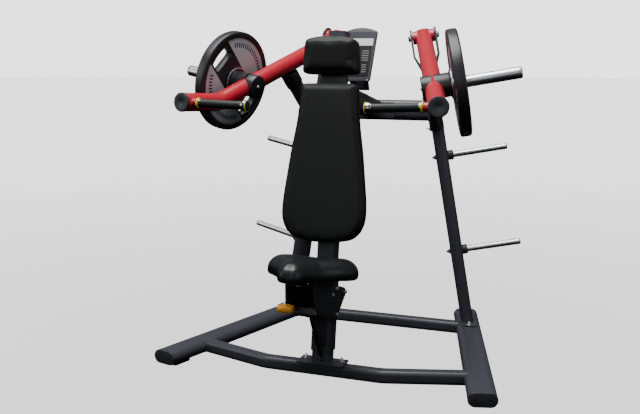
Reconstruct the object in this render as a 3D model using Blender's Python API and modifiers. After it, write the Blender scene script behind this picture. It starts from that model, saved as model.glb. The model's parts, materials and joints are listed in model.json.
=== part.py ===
"""Plate-loaded, seated press machine with two splayed, converging arms.

Units are metres, +Z is up, the user faces -Y and sits between the arms, and X = 0 is the mirror plane.
The origin is on the floor, under the middle of the machine's box.
"""
import math

import bmesh
import bpy
from mathutils import Matrix, Vector

# ---- driving dimensions -------------------------------------------------------------------------
GAP = 0.0003                 # space kept between pieces that touch
MID_Y = 0.4505               # distance from the rails' front ends to the middle of the machine's box
SPLAY = math.radians(14.5)   # the rails open towards the front by this angle on each side
LEAN = math.radians(9.9)     # the uprights lean in by this angle on each side
COLUMN_LEAN = math.radians(8.4)

FOOT_H = 0.012
RAIL_W, RAIL_H, TUBE_WALL = 0.122, 0.062, 0.003
RAIL_LENGTH = 1.216
RAIL_FRONT_X = 0.721
RAIL_Z = FOOT_H + RAIL_H / 2
CAP_T = 0.012
UPRIGHT_W, UPRIGHT_D = 0.060, 0.120
UPRIGHT_R = 0.978            # place along the rail
UPRIGHT_TOP = 1.300
BAR_R = 0.030
FRONT_BAR_Y, REAR_BAR_Y = 0.125, 0.935
FRONT_BAR_BEND_X, FRONT_BAR_END_Y = 0.270, 0.236
PLATE_T = 0.008

PIVOT_R, PIVOT_U = 1.015, 1.464
ARM_R, ARM_WALL = 0.039, 0.0035
ARM_CAP_R, ARM_CAP_U = -0.061, 1.1736
ARM_BEND_R, ARM_BEND_U = 0.171, 1.165
ARM_BEND_RADIUS = 0.16
CROSS_TUBE_R, CROSS_TUBE_HALF = 0.031, 0.0525
PIN_R = 0.010
HUB_ALONG = 0.371            # the hub's place on the rising part of the arm, in rail direction
HUB_R, HUB_IN, HUB_OUT = 0.051, -0.051, 0.074
HORN_R, HORN_END = 0.025, 0.366
FLANGE_R, FLANGE_T = 0.066, 0.005
PLATE_R, PLATE_HALF, PLATE_N = 0.225, 0.0235, 0.1035
BORE_R = 0.0256
WINDOW_IN, WINDOW_OUT, WINDOW_HALF = 0.118, 0.176, 0.058
WINDOW_TURN = math.radians(115.5)      # the windows' direction in the plate, from the arm's line towards the front

STOP_SLOPE = math.radians(41.3)
STOP_TOP_R = 0.6487
STOP_W, STOP_D = 0.060, 0.076
BUMPER_OVER = 0.0055

HANDLE_Y = -0.079
HANDLE_DROOP = math.radians(2.0)
HANDLE_IN_X = 0.246
CORE_R, GRIP_R = 0.0135, 0.0175

COLUMN_W, COLUMN_CORNER = 0.080, 0.014
COLUMN_Y, COLUMN_REF_Z = 0.122, 0.106     # a point on the column's axis
COLUMN_TOP = 1.490
SLEEVE_W = 0.091
SLEEVE_LOW, SLEEVE_HIGH = 0.128, 0.520
BEAM_Z, BEAM_H, BEAM_D = 1.130, 0.100, 0.060
BEAM_Y = 0.893
SPINE_FRONT_Z = 1.226

PAD_T, BOARD_T, CARRIER_T = 0.066, 0.010, 0.0075
BACK_LOW, BACK_WIDE_Z, BACK_TOP = 0.590, 0.742, 1.266
BACK_TOP_HALF, BACK_WIDE_HALF = 0.126, 0.192
HEAD_LOW, HEAD_TOP = 1.298, 1.456
HEAD_LOW_HALF, HEAD_TOP_HALF = 0.127, 0.115

SEAT_LOW, SEAT_T, SEAT_TILT = 0.483, 0.084, math.radians(7.0)   # the underside's height at y = 0
SEAT_FRONT_Y, SEAT_BACK_Y = -0.294, 0.092
SEAT_WIDE, SEAT_NOSE = 0.205, 0.052
SIDE_X, SIDE_T = 0.0615, 0.006

GAS_LOW = Vector((0.018, 0.062, 0.108))
GAS_HIGH = Vector((-0.020, -0.049, 0.450))

STORAGE_HEIGHTS = {"lower": 0.402, "upper": 0.878}
STORAGE_R, STORAGE_END = 0.0145, 0.317
COLLAR_R, COLLAR_L = 0.024, 0.026

PLACARD_Y, PLACARD_LEAN = 0.578, math.radians(16)
PLACARD_LOW, PLACARD_TOP = 1.272, 1.500
PLACARD_LOW_HALF, PLACARD_TOP_HALF = 0.062, 0.078
PLACARD_RISE, PLACARD_T = 0.018, 0.014

SIDES = {"left": -1, "right": 1}


# ---- scene and materials ------------------------------------------------------------------------
def clear_scene():
    for old in list(bpy.data.objects):
        bpy.data.objects.remove(old, do_unlink=True)


def new_collection(name):
    made = bpy.data.collections.new(name)
    bpy.context.scene.collection.children.link(made)
    return made


clear_scene()
PARTS = new_collection("press_machine")
CUTTERS = new_collection("cutters")


def new_material(name, color, roughness, metallic=0.0):
    made = bpy.data.materials.new(name)
    made.use_nodes = True
    shader = made.node_tree.nodes["Principled BSDF"]
    shader.inputs["Base Color"].default_value = (*color, 1.0)
    shader.inputs["Roughness"].default_value = roughness
    shader.inputs["Metallic"].default_value = metallic
    return made


MATERIALS = {
    "frame_paint": new_material("frame_paint", (0.030, 0.032, 0.037), 0.38),
    "red_paint": new_material("red_paint", (0.52, 0.020, 0.030), 0.30),
    "chrome": new_material("chrome", (0.80, 0.81, 0.83), 0.12, 1.0),
    "zinc": new_material("zinc", (0.60, 0.61, 0.63), 0.35, 1.0),
    "leather": new_material("leather", (0.022, 0.022, 0.024), 0.50),
    "plastic": new_material("plastic", (0.028, 0.030, 0.036), 0.45),
    "rubber": new_material("rubber", (0.020, 0.020, 0.021), 0.65),
    "board": new_material("board", (0.035, 0.036, 0.042), 0.40),
    "orange": new_material("orange", (0.78, 0.33, 0.02), 0.40),
}


# ---- frames of reference ------------------------------------------------------------------------
def turned(x_axis, y_axis, z_axis, origin):
    turn = Matrix((x_axis, y_axis, z_axis)).transposed().to_4x4()
    return Matrix.Translation(origin) @ turn


def along_y(y):
    """A y measured from the rails' front ends, in the machine's own frame."""
    return y - MID_Y


def rail_frame(side):
    """X across the rail, Y along it to the rear, Z up; origin at the rail's front end."""
    x_axis = Vector((math.cos(SPLAY), side * math.sin(SPLAY), 0))
    y_axis = Vector((-side * math.sin(SPLAY), math.cos(SPLAY), 0))
    return turned(x_axis, y_axis, Vector((0, 0, 1)), Vector((side * RAIL_FRONT_X, along_y(0), RAIL_Z)))


def arm_frame(side):
    """The rail's frame leant in: X = side x outwards along the pivot, Y to the rear, Z up the upright."""
    return rail_frame(side) @ Matrix.Rotation(-side * LEAN, 4, "Y")


def column_frame():
    """Z up the column's axis, Y to the rear; origin on the axis at the reference height."""
    return Matrix.Translation((0, along_y(COLUMN_Y), COLUMN_REF_Z)) @ Matrix.Rotation(-COLUMN_LEAN, 4, "X")


def up_column(z):
    """Distance along the column's axis from its reference point to height z."""
    return (z - COLUMN_REF_Z) / math.cos(COLUMN_LEAN)


def facing(start, end, up=Vector((0, 0, 1))):
    """Z from start to end, X across it and level with 'up'."""
    z_axis = (end - start).normalized()
    x_axis = up.cross(z_axis).normalized()
    return turned(x_axis, z_axis.cross(x_axis), z_axis, start)


# ---- outlines -----------------------------------------------------------------------------------
def arc(cx, cy, radius, start, end, count):
    """Points on an arc, angles in degrees."""
    angles = [math.radians(start + (end - start) * i / count) for i in range(count + 1)]
    return [(cx + radius * math.cos(a), cy + radius * math.sin(a)) for a in angles]


def circle(radius, count=24):
    return arc(0, 0, radius, 0, 360 - 360 / count, count - 1)


def flat_oval(width, height, count=8):
    """A stadium, long side along x."""
    r = height / 2
    reach = width / 2 - r
    return arc(reach, 0, r, -90, 90, count) + arc(-reach, 0, r, 90, 270, count)


def rounded_box(width, height, radius, count=4):
    x, y = width / 2 - radius, height / 2 - radius
    corners = ((x, y, 0), (-x, y, 90), (-x, -y, 180), (x, -y, 270))
    return [p for cx, cy, a in corners for p in arc(cx, cy, radius, a, a + 90, count)]


def softened(corners, radius, count=4):
    """An outline with each corner (x, y) rounded by an arc-like curve of the given size."""
    points = []
    for i, corner in enumerate(corners):
        here = Vector(corner)
        before = (Vector(corners[i - 1]) - here)
        after = (Vector(corners[(i + 1) % len(corners)]) - here)
        reach = min(radius, before.length * 0.45, after.length * 0.45)
        start = here + before.normalized() * reach
        end = here + after.normalized() * reach
        for step in range(count + 1):
            t = step / count
            point = start * (1 - t) ** 2 + here * 2 * t * (1 - t) + end * t ** 2
            points.append((point.x, point.y))
    return points


def mirrored(half):
    """A closed outline from the points of its right half, bottom to top."""
    return half + [(-x, y) for x, y in reversed(half)]


# ---- solids -------------------------------------------------------------------------------------
def keep(obj, material, name=None):
    if name:
        obj.name = name
        obj.data.name = name
    obj.data.materials.clear()
    obj.data.materials.append(MATERIALS[material])
    for other in list(obj.users_collection):
        other.objects.unlink(obj)
    PARTS.objects.link(obj)
    return obj


def mesh_of(curve_object):
    """A welded mesh object in place of a curve object."""
    bpy.context.view_layer.update()
    evaluated = curve_object.evaluated_get(bpy.context.evaluated_depsgraph_get())
    data = bpy.data.meshes.new_from_object(evaluated)
    made = bpy.data.objects.new(curve_object.name, data)
    CUTTERS.objects.link(made)
    made.matrix_world = curve_object.matrix_world.copy()
    work = bmesh.new()
    work.from_mesh(data)
    bmesh.ops.remove_doubles(work, verts=work.verts, dist=0.00002)
    bmesh.ops.recalc_face_normals(work, faces=work.faces)
    work.to_mesh(data)
    work.free()
    bpy.data.objects.remove(curve_object, do_unlink=True)
    return made


def slab(outlines, start, end, frame):
    """Flat outlines in the frame's XY plane, extruded from z = start to z = end."""
    data = bpy.data.curves.new("slab", "CURVE")
    data.dimensions = "2D"
    data.fill_mode = "BOTH"
    data.extrude = (end - start) / 2
    for outline in outlines:
        spline = data.splines.new("POLY")
        spline.points.add(len(outline) - 1)
        for point, (x, y) in zip(spline.points, outline):
            point.co = (x, y, 0, 1)
        spline.use_cyclic_u = True
    made = bpy.data.objects.new("slab", data)
    CUTTERS.objects.link(made)
    made.matrix_world = frame @ Matrix.Translation((0, 0, (start + end) / 2))
    return mesh_of(made)


def pipe(points, radius, frame, sides=12):
    """A round bar along a path of points."""
    data = bpy.data.curves.new("pipe", "CURVE")
    data.dimensions = "3D"
    data.fill_mode = "FULL"
    data.bevel_depth = radius
    data.bevel_resolution = sides // 2 - 2
    data.use_fill_caps = True
    spline = data.splines.new("POLY")
    spline.points.add(len(points) - 1)
    for point, place in zip(spline.points, points):
        point.co = (*place, 1)
    made = bpy.data.objects.new("pipe", data)
    CUTTERS.objects.link(made)
    made.matrix_world = frame
    return mesh_of(made)


def turned_piece(profile, frame, sides=24):
    """A profile of (radius, height) pairs, top to bottom, turned about the frame's Z."""
    data = bpy.data.meshes.new("turned")
    verts = [(r, 0, z) for r, z in profile]
    data.from_pydata(verts, [(i, i + 1) for i in range(len(verts) - 1)], [])
    made = bpy.data.objects.new("turned", data)
    CUTTERS.objects.link(made)
    made.matrix_world = frame
    screw = made.modifiers.new("turn", "SCREW")
    screw.angle = math.tau
    screw.steps = sides
    screw.render_steps = sides
    screw.use_merge_vertices = True
    screw.merge_threshold = 0.00001
    return baked(made)


def baked(obj):
    """The object with its modifiers applied to its mesh."""
    bpy.context.view_layer.update()
    data = bpy.data.meshes.new_from_object(obj.evaluated_get(bpy.context.evaluated_depsgraph_get()))
    work = bmesh.new()
    work.from_mesh(data)
    bmesh.ops.remove_doubles(work, verts=work.verts, dist=0.00001)
    bmesh.ops.recalc_face_normals(work, faces=work.faces)
    work.to_mesh(data)
    work.free()
    obj.modifiers.clear()
    obj.data = data
    return obj


def block(size, centre, frame):
    data = bpy.data.meshes.new("block")
    work = bmesh.new()
    bmesh.ops.create_cube(work, size=1.0)
    bmesh.ops.scale(work, vec=size, verts=work.verts)
    work.to_mesh(data)
    work.free()
    made = bpy.data.objects.new("block", data)
    CUTTERS.objects.link(made)
    made.matrix_world = frame @ Matrix.Translation(centre)
    return made


def rod(radius, start, end, frame, sides=24):
    """A cylinder along the frame's Z."""
    return slab([circle(radius, sides)], start, end, frame)


def boolean(base, other, operation):
    step = base.modifiers.new(operation.lower(), "BOOLEAN")
    step.operation = operation
    step.solver = "EXACT"
    step.object = other
    baked(base)
    bpy.data.objects.remove(other, do_unlink=True)
    return base


def cut(base, *cutters):
    for cutter in cutters:
        boolean(base, cutter, "DIFFERENCE")
    return base


def join(base, *others):
    for other in others:
        boolean(base, other, "UNION")
    return base


def common(base, other):
    return boolean(base, other, "INTERSECT")


def beyond(point, normal, size=0.6):
    """A large block on the side of a plane that its normal points to."""
    frame = facing(point, point + normal, Vector((0.31, 0.17, 1)))
    return block((size, size, size), (0, 0, size / 2), frame)


def across_x(frame):
    """The frame turned so that Z runs along its old X."""
    return frame @ Matrix.Rotation(math.radians(90), 4, "Y")


def side_view(frame):
    """The frame turned so that X, Y of an outline are the old Y, Z, and it is extruded along the old X."""
    return frame @ Matrix(((0, 0, 1, 0), (1, 0, 0, 0), (0, 1, 0, 0), (0, 0, 0, 1)))


def front_view(frame):
    """The frame turned so that X, Y of an outline are the old X, Z, and it is extruded along the old -Y."""
    return frame @ Matrix(((1, 0, 0, 0), (0, 0, -1, 0), (0, 1, 0, 0), (0, 0, 0, 1)))


# ---- base ---------------------------------------------------------------------------------------
def rail_section(frame, grow, start, end):
    """The rail's outer shape, grown by a margin, between two places along it."""
    outline = flat_oval(RAIL_W + 2 * grow, RAIL_H + 2 * grow)
    return slab([outline], -end, -start, front_view(frame))


def base_rail(name, side):
    frame = rail_frame(side)
    outer = flat_oval(RAIL_W, RAIL_H)
    inner = flat_oval(RAIL_W - 2 * TUBE_WALL, RAIL_H - 2 * TUBE_WALL)
    tube = slab([outer, inner], CAP_T + GAP - RAIL_LENGTH, -CAP_T - GAP, front_view(frame))
    keep(tube, "frame_paint", f"base_rail_{name}")
    for end, low in (("front", 0.0), ("rear", RAIL_LENGTH - CAP_T)):
        cap = rail_section(frame, 0.001, low, low + CAP_T)
        keep(cap, "plastic", f"rail_cap_{end}_{name}")
    for end, place in (("front", 0.085), ("rear", RAIL_LENGTH - 0.085)):
        foot = slab([rounded_box(0.10, 0.075, 0.012)], -RAIL_Z, GAP * -1 - RAIL_H / 2,
                    frame @ Matrix.Translation((0, place, 0)))
        keep(foot, "rubber", f"foot_{end}_{name}")


def bar_between(points):
    """A hollow round bar through points, trimmed against both rails."""
    bar = pipe(points, BAR_R, Matrix.Identity(4), 20)
    bore = pipe(stretched(points, 0.05), BAR_R - TUBE_WALL, Matrix.Identity(4), 20)
    cut(bar, bore)
    for side in (-1, 1):
        cut(bar, rail_section(rail_frame(side), GAP, -0.1, RAIL_LENGTH + 0.1))
    return bar


def stretched(points, more):
    """The path made longer at both ends."""
    first, second = Vector(points[0]), Vector(points[1])
    last, before = Vector(points[-1]), Vector(points[-2])
    start = first + (first - second).normalized() * more
    end = last + (last - before).normalized() * more
    return [start[:]] + points[1:-1] + [end[:]]


def bend(before, corner, after, radius, count=5):
    """Points of a round bend at a corner between two straight runs."""
    corner = Vector(corner)
    first = (Vector(before) - corner).normalized()
    second = (Vector(after) - corner).normalized()
    half = first.angle(second) / 2
    reach = radius / math.tan(half)
    centre = corner + (first + second).normalized() * (radius / math.sin(half))
    start, end = corner + first * reach, corner + second * reach
    turn = (start - centre).rotation_difference(end - centre)
    steps = [turn.copy() for _ in range(count + 1)]
    points = []
    for i, _ in enumerate(steps):
        part = turn.copy()
        part.angle = turn.angle * i / count
        points.append((centre + part @ (start - centre))[:])
    return points


def rail_x(y):
    """The rail's centre line at a distance y behind its front end."""
    return RAIL_FRONT_X - y * math.tan(SPLAY)


def front_cross_bar():
    end_x = rail_x(FRONT_BAR_END_Y) - 0.045
    ends = [(sx * end_x, along_y(FRONT_BAR_END_Y), RAIL_Z) for sx in (-1, 1)]
    knees = [(sx * FRONT_BAR_BEND_X, along_y(FRONT_BAR_Y), RAIL_Z) for sx in (-1, 1)]
    path = [ends[0]] + bend(ends[0], knees[0], knees[1], 0.16) + bend(knees[0], knees[1], ends[1], 0.16)
    keep(bar_between(path + [ends[1]]), "frame_paint", "front_cross_bar")


def rear_cross_bar():
    end_x = rail_x(REAR_BAR_Y) - 0.045
    path = [(sx * end_x, along_y(REAR_BAR_Y), RAIL_Z) for sx in (-1, 1)]
    keep(bar_between(path), "frame_paint", "rear_cross_bar")


# ---- uprights, beam, spine ----------------------------------------------------------------------
def upright(name, side):
    """A leaning flat-oval tube on a foot plate."""
    frame = arm_frame(side) @ Matrix.Translation((0, UPRIGHT_R, 0))
    outer = [(y, x) for x, y in flat_oval(UPRIGHT_D, UPRIGHT_W)][::-1]
    wall = 2 * TUBE_WALL
    inner = [(y, x) for x, y in flat_oval(UPRIGHT_D - wall, UPRIGHT_W - wall)][::-1]
    tube = slab([outer, inner], -0.03, UPRIGHT_TOP, frame)
    seat_z = RAIL_Z + RAIL_H / 2 + GAP
    cut(tube, beyond(Vector((side * 0.45, along_y(0.9), seat_z + PLATE_T / 2)), Vector((0, 0, -1))))
    rail = rail_frame(side)
    low = seat_z - RAIL_Z
    under = rail @ Matrix.Translation((0, UPRIGHT_R, 0))
    foot = slab([rounded_box(0.078, 0.190, 0.008)], low, low + PLATE_T, under)
    keep(join(tube, foot), "frame_paint", f"upright_{name}")


def top_cross_beam():
    """A flat-oval beam between the uprights, with a bolting flange at each end."""
    section = [(y, x) for x, y in flat_oval(BEAM_H, BEAM_D)]
    wall = 2 * TUBE_WALL
    hollow = [(y, x) for x, y in flat_oval(BEAM_H - wall, BEAM_D - wall)]
    centre = Matrix.Translation((0, along_y(BEAM_Y), BEAM_Z))
    beam = slab([section, hollow], -0.36, 0.36, side_view(centre))
    for side in (-1, 1):
        frame = arm_frame(side)
        face_n = -side * (UPRIGHT_W / 2 + GAP)
        inward = frame.to_3x3() @ Vector((side, 0, 0))
        cut(beam, beyond(frame @ Vector((face_n - side * 0.003, UPRIGHT_R, 1.0)), inward))
    for side in (-1, 1):
        frame = arm_frame(side)
        face_n = UPRIGHT_W / 2 + GAP
        low, high = sorted((-side * face_n, -side * (face_n + PLATE_T)))
        centre_u = 1.098
        flange = slab([rounded_box(0.070, 0.175, 0.010)], low, high,
                      side_view(frame) @ Matrix.Translation((UPRIGHT_R - 0.022, centre_u, 0)))
        join(beam, flange)
    keep(beam, "frame_paint", "top_cross_beam")


def column_y(z):
    """The column axis's y at height z, measured from the rails' front ends."""
    return COLUMN_Y + (z - COLUMN_REF_Z) * math.tan(COLUMN_LEAN)


def spine_tube():
    """The tube that ties the column to the cross beam, with a flange on the beam."""
    back_y = BEAM_Y - BEAM_D / 2 - GAP
    start = Vector((0, along_y(column_y(SPINE_FRONT_Z) - 0.03), SPINE_FRONT_Z + 0.015))
    end = Vector((0, along_y(back_y + 0.03), BEAM_Z - 0.003))
    frame = facing(start, end)
    length = (end - start).length
    outer, inner = flat_oval(0.094, 0.060), flat_oval(0.088, 0.054)
    stand = [[(y, x) for x, y in outline] for outline in (outer, inner)]
    tube = slab(stand, 0, length, frame)
    column = column_frame()
    rear_face = column @ Vector((0, COLUMN_W / 2 + GAP, up_column(SPINE_FRONT_Z)))
    cut(tube, beyond(rear_face, column.to_3x3() @ Vector((0, -1, 0))))
    cut(tube, beyond(Vector((0, along_y(back_y - PLATE_T / 2), BEAM_Z)), Vector((0, 1, 0))))
    flange = block((0.200, PLATE_T, 0.078), (0, along_y(back_y - PLATE_T / 2), BEAM_Z), Matrix.Identity(4))
    keep(join(tube, flange), "frame_paint", "spine_tube")


def main_column():
    """The leaning square column on its foot plate, with a lug for the gas spring."""
    frame = column_frame()
    outer = rounded_box(COLUMN_W, COLUMN_W, COLUMN_CORNER)
    inner = rounded_box(COLUMN_W - 2 * TUBE_WALL, COLUMN_W - 2 * TUBE_WALL, COLUMN_CORNER - TUBE_WALL)
    tube = slab([outer, inner], -0.06, up_column(COLUMN_TOP), frame)
    seat_z = RAIL_Z + BAR_R + GAP
    base_y = along_y(column_y(seat_z))
    cut(tube, beyond(Vector((0, base_y, seat_z + PLATE_T / 2)), Vector((0, 0, -1))))
    under = Matrix.Translation((0, base_y, 0))
    foot = slab([rounded_box(0.212, 0.096, 0.008)], seat_z, seat_z + PLATE_T, under)
    pin_at = Matrix.Translation((0, along_y(GAS_LOW.y), GAS_LOW.z))
    lug = block((0.006, 0.048, 0.022), (GAS_LOW.x + 0.0095, 0.012, 0), pin_at)
    pin = rod(0.004, GAS_LOW.x - 0.0075, GAS_LOW.x + 0.008, across_x(pin_at), 16)
    keep(join(tube, foot, lug, pin), "frame_paint", "main_column")


def guide_sleeve():
    """The sleeve that the seat rides on, with a toothed rack on its front face."""
    frame = column_frame()
    outer = rounded_box(SLEEVE_W, SLEEVE_W, COLUMN_CORNER + 0.004)
    inner = rounded_box(COLUMN_W + 2 * GAP, COLUMN_W + 2 * GAP, COLUMN_CORNER)
    low, high = up_column(SLEEVE_LOW), up_column(SLEEVE_HIGH)
    sleeve = slab([outer, inner], low, high, frame)
    face = -SLEEVE_W / 2
    pitch, tooth = 0.018, 0.008
    count = 12
    teeth = [(face + 0.002, low + 0.034)]
    for i in range(count):
        z = low + 0.040 + i * pitch
        teeth += [(face - 0.002, z), (face - 0.006, z + 0.002), (face - 0.006, z + tooth),
                  (face - 0.002, z + tooth + 0.002)]
    teeth += [(face - 0.002, low + 0.046 + count * pitch), (face + 0.002, low + 0.046 + count * pitch)]
    rack = slab([teeth], -0.026, 0.026, side_view(frame))
    keep(join(sleeve, rack), "plastic", "guide_sleeve")


# ---- pads ---------------------------------------------------------------------------------------
def pad_frame():
    """On the column's front face: X across, Y up the column (from its reference point), Z forwards."""
    front = column_frame() @ Matrix.Translation((0, -COLUMN_W / 2, 0))
    return front @ Matrix.Rotation(math.radians(90), 4, "X")


def pad_carrier():
    outline = rounded_box(0.112, up_column(1.440) - up_column(0.760), 0.010)
    middle = (up_column(1.440) + up_column(0.760)) / 2
    plate = slab([outline], GAP, CARRIER_T, pad_frame() @ Matrix.Translation((0, middle, 0)))
    keep(plate, "frame_paint", "pad_carrier")


def backrest_outline(inset=0.0):
    low, wide, top = (up_column(z) for z in (BACK_LOW, BACK_WIDE_Z, BACK_TOP))
    half = [(0.060 - inset / 2, low + inset), (0.135 - inset / 2, low + 0.016 + inset),
            (BACK_WIDE_HALF - 0.020 - inset, low + 0.052 + inset / 2),
            (BACK_WIDE_HALF - 0.002 - inset, low + 0.100), (BACK_WIDE_HALF - inset, wide),
            (BACK_WIDE_HALF - 0.005 - inset, wide + 0.058), (0.165 - inset, wide + 0.232),
            (0.144 - inset, wide + 0.358), (BACK_TOP_HALF - inset, top - inset)]
    return softened(mirrored(half), 0.022, 3)


def backrest():
    frame = pad_frame()
    board_low = CARRIER_T + GAP
    board = slab([backrest_outline(0.012)], board_low, board_low + BOARD_T, frame)
    keep(board, "board", "backrest_board")
    pad_low = board_low + BOARD_T + GAP
    pad = slab([backrest_outline()], pad_low, pad_low + PAD_T, frame)
    keep(pad, "leather", "backrest_pad")


def headrest():
    """A wedge: its back lies on the carrier and its face stands nearly upright."""
    low, top = up_column(HEAD_LOW), up_column(HEAD_TOP)
    half = [(HEAD_LOW_HALF, low), (HEAD_TOP_HALF, top - 0.012), (0.060, top)]
    start = CARRIER_T + GAP
    pad = slab([softened(mirrored(half), 0.022)], start, start + 0.12, pad_frame())
    face_low = pad_frame() @ Vector((0, low, start + PAD_T + 0.008))
    forwards = Vector((0, -math.cos(math.radians(1.0)), math.sin(math.radians(1.0))))
    cut(pad, beyond(face_low, forwards))
    keep(pad, "leather", "headrest_pad")


# ---- placard ------------------------------------------------------------------------------------
def placard_frame():
    return front_view(Matrix.Translation((0, along_y(PLACARD_Y), PLACARD_LOW))
                      @ Matrix.Rotation(-PLACARD_LEAN, 4, "X"))


def placard():
    height = (PLACARD_TOP - PLACARD_LOW) / math.cos(PLACARD_LEAN)
    rise = PLACARD_RISE
    radius = (PLACARD_TOP_HALF ** 2 + rise ** 2) / (2 * rise)
    spread = math.degrees(math.asin(PLACARD_TOP_HALF / radius))
    top = arc(0, height + rise - radius, radius, 90 - spread, 90 + spread, 8)
    foot = [(-PLACARD_LOW_HALF, 0.008), (-PLACARD_LOW_HALF + 0.008, 0), (PLACARD_LOW_HALF - 0.008, 0),
            (PLACARD_LOW_HALF, 0.008)]
    keep(slab([top + foot], 0, PLACARD_T, placard_frame()), "plastic", "placard_board")


def spine_top_z(y):
    """Height of the spine's top line at y, measured from the rails' front ends."""
    front_y = column_y(SPINE_FRONT_Z) - 0.03
    back_y = BEAM_Y - BEAM_D / 2 - GAP + 0.03
    slope = (BEAM_Z - 0.003 - (SPINE_FRONT_Z + 0.015)) / (back_y - front_y)
    return SPINE_FRONT_Z + 0.015 + slope * (y - front_y) + 0.047 / math.cos(math.atan(slope))


def placard_post():
    """A post from the spine up to the foot of the placard, leaning forwards."""
    foot_y, head_y = 0.652, 0.594
    start = Vector((0, along_y(foot_y), spine_top_z(foot_y) - 0.04))
    end = Vector((0, along_y(head_y), PLACARD_LOW + 0.02))
    frame = facing(start, end)
    post = slab([flat_oval(0.090, 0.040)], 0, (end - start).length, frame)
    slope = math.atan2(spine_top_z(0.7) - spine_top_z(0.6), 0.1)
    above = Vector((0, -math.sin(slope), math.cos(slope)))
    cut(post, beyond(Vector((0, along_y(foot_y), spine_top_z(foot_y))) + above * GAP * 2, -above))
    behind = placard_frame().to_3x3() @ Vector((0, 0, 1))
    face = placard_frame() @ Vector((0, 0, 0))
    cut(post, beyond(face - behind * GAP, behind))
    cut(post, beyond(Vector((0, 0, PLACARD_LOW + 0.012)), Vector((0, 0, 1)), 1.0))
    keep(post, "frame_paint", "placard_post")


# ---- plate storage and arm stops ----------------------------------------------------------------
def storage_horn(name, side, level, height):
    """A horn with its collar on the outside of an upright."""
    frame = across_x(arm_frame(side) @ Matrix.Translation((0, UPRIGHT_R, height)))
    near = UPRIGHT_W / 2 + GAP
    collar = rod(COLLAR_R, *sorted((side * near, side * (near + COLLAR_L))), frame, 20)
    keep(collar, "plastic", f"storage_collar_{level}_{name}")
    start = near + COLLAR_L + GAP
    chamfer = 0.003
    profile = [(0, STORAGE_END), (STORAGE_R - chamfer, STORAGE_END), (STORAGE_R, STORAGE_END - chamfer),
               (STORAGE_R, start), (0, start)]
    outward = frame if side > 0 else frame @ Matrix.Rotation(math.pi, 4, "X")
    keep(turned_piece(profile, outward, 20), "chrome", f"storage_horn_{level}_{name}")


def arm_line_u(r, offset=0.0):
    """Height, up the upright, of the rising part of the arm's axis at r, moved sideways by an offset."""
    slope = (PIVOT_U - ARM_BEND_U) / (PIVOT_R - ARM_BEND_R)
    return ARM_BEND_U + slope * (r - ARM_BEND_R) + offset / math.cos(math.atan(slope))


def arm_slope():
    return math.atan2(PIVOT_U - ARM_BEND_U, PIVOT_R - ARM_BEND_R)


def stop_frame(side):
    """Z down the stop's axis from the arm's underside, Y in the arm's plane, X across it."""
    top = Vector((0, STOP_TOP_R, arm_line_u(STOP_TOP_R, -ARM_R)))
    down = Vector((0, math.cos(STOP_SLOPE), -math.sin(STOP_SLOPE)))
    axis = facing(top, top + down, Vector((1, 0, 0)))
    return arm_frame(side) @ axis @ Matrix.Rotation(math.radians(90), 4, "Z")


def stop_section(grow):
    """The stop's flat-oval outline, its long side in the arm's plane."""
    return [(x, y) for y, x in flat_oval(STOP_D + 2 * grow, STOP_W + 2 * grow)][::-1]


def arm_stop(name, side):
    """A flat-oval tube from the upright up to the arm, with a rubber bumper on its end."""
    frame = stop_frame(side)
    world_up = arm_frame(side).to_3x3() @ Vector((0, -math.sin(arm_slope()), math.cos(arm_slope())))
    contact = frame @ Vector((0, 0, 0)) - world_up * GAP
    top_t = 0.014
    upright_face = arm_frame(side) @ Vector((0, UPRIGHT_R, 1.0))
    tube = slab([stop_section(0), stop_section(-TUBE_WALL)], -0.1, 0.42, frame)
    cut(tube, beyond(contact - world_up * top_t, world_up))
    grown = [(y, x) for x, y in flat_oval(UPRIGHT_D + 2 * GAP, UPRIGHT_W + 2 * GAP)][::-1]
    cut(tube, slab([grown], 0.2, 1.5, arm_frame(side) @ Matrix.Translation((0, UPRIGHT_R, 0))))
    cut(tube, beyond(upright_face, arm_frame(side).to_3x3() @ Vector((0, 1, 0))))
    keep(tube, "frame_paint", f"arm_stop_{name}")

    bumper = slab([stop_section(BUMPER_OVER)], -0.1, 0.083, frame)
    cut(bumper, beyond(contact, world_up))
    inside = slab([stop_section(GAP)], -0.1, 0.2, frame)
    cut(inside, beyond(contact - world_up * (top_t - GAP), world_up))
    keep(cut(bumper, inside), "rubber", f"stop_bumper_{name}")


# ---- pivots -------------------------------------------------------------------------------------
def pivot_fork(name, side):
    """Two flared bars on a base plate that hold the arm's cross tube above the upright."""
    frame = arm_frame(side)
    low, base_t, bar_t = UPRIGHT_TOP + GAP, 0.012, 0.010
    ear_in, ear_out = 0.0535, 0.0635
    kink = 1.372
    top = PIVOT_U + 0.050
    half = [(0.036, low), (ear_out, kink), (ear_out, top), (ear_in, top), (ear_in, kink + 0.002),
            (0.036 - bar_t, low + base_t)]
    shape = slab([mirrored(half)], -PIVOT_R - 0.06, -UPRIGHT_R + 0.06, front_view(frame))
    radius = 0.040
    foot = [(0.940, kink), (0.935, low - 0.01), (1.022, low - 0.01), (1.030, kink)]
    outline = arc(PIVOT_R, PIVOT_U, radius, 0, 180, 10) + foot
    common(shape, slab([outline], -0.08, 0.08, side_view(frame)))
    axle = across_x(frame @ Matrix.Translation((0, PIVOT_R, PIVOT_U)))
    cut(shape, rod(PIN_R + 0.0004, -0.1, 0.1, axle))
    keep(shape, "frame_paint", f"pivot_fork_{name}")

    head, end = 0.0165, ear_out + GAP
    profile = [(0, end + 0.012), (head - 0.002, end + 0.012), (head, end + 0.010), (head, end), (PIN_R, end),
               (PIN_R, -end), (head, -end), (head, -end - 0.010), (head - 0.002, -end - 0.012), (0, -end - 0.012)]
    keep(turned_piece(profile, axle), "zinc", f"pivot_pin_{name}")


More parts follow.
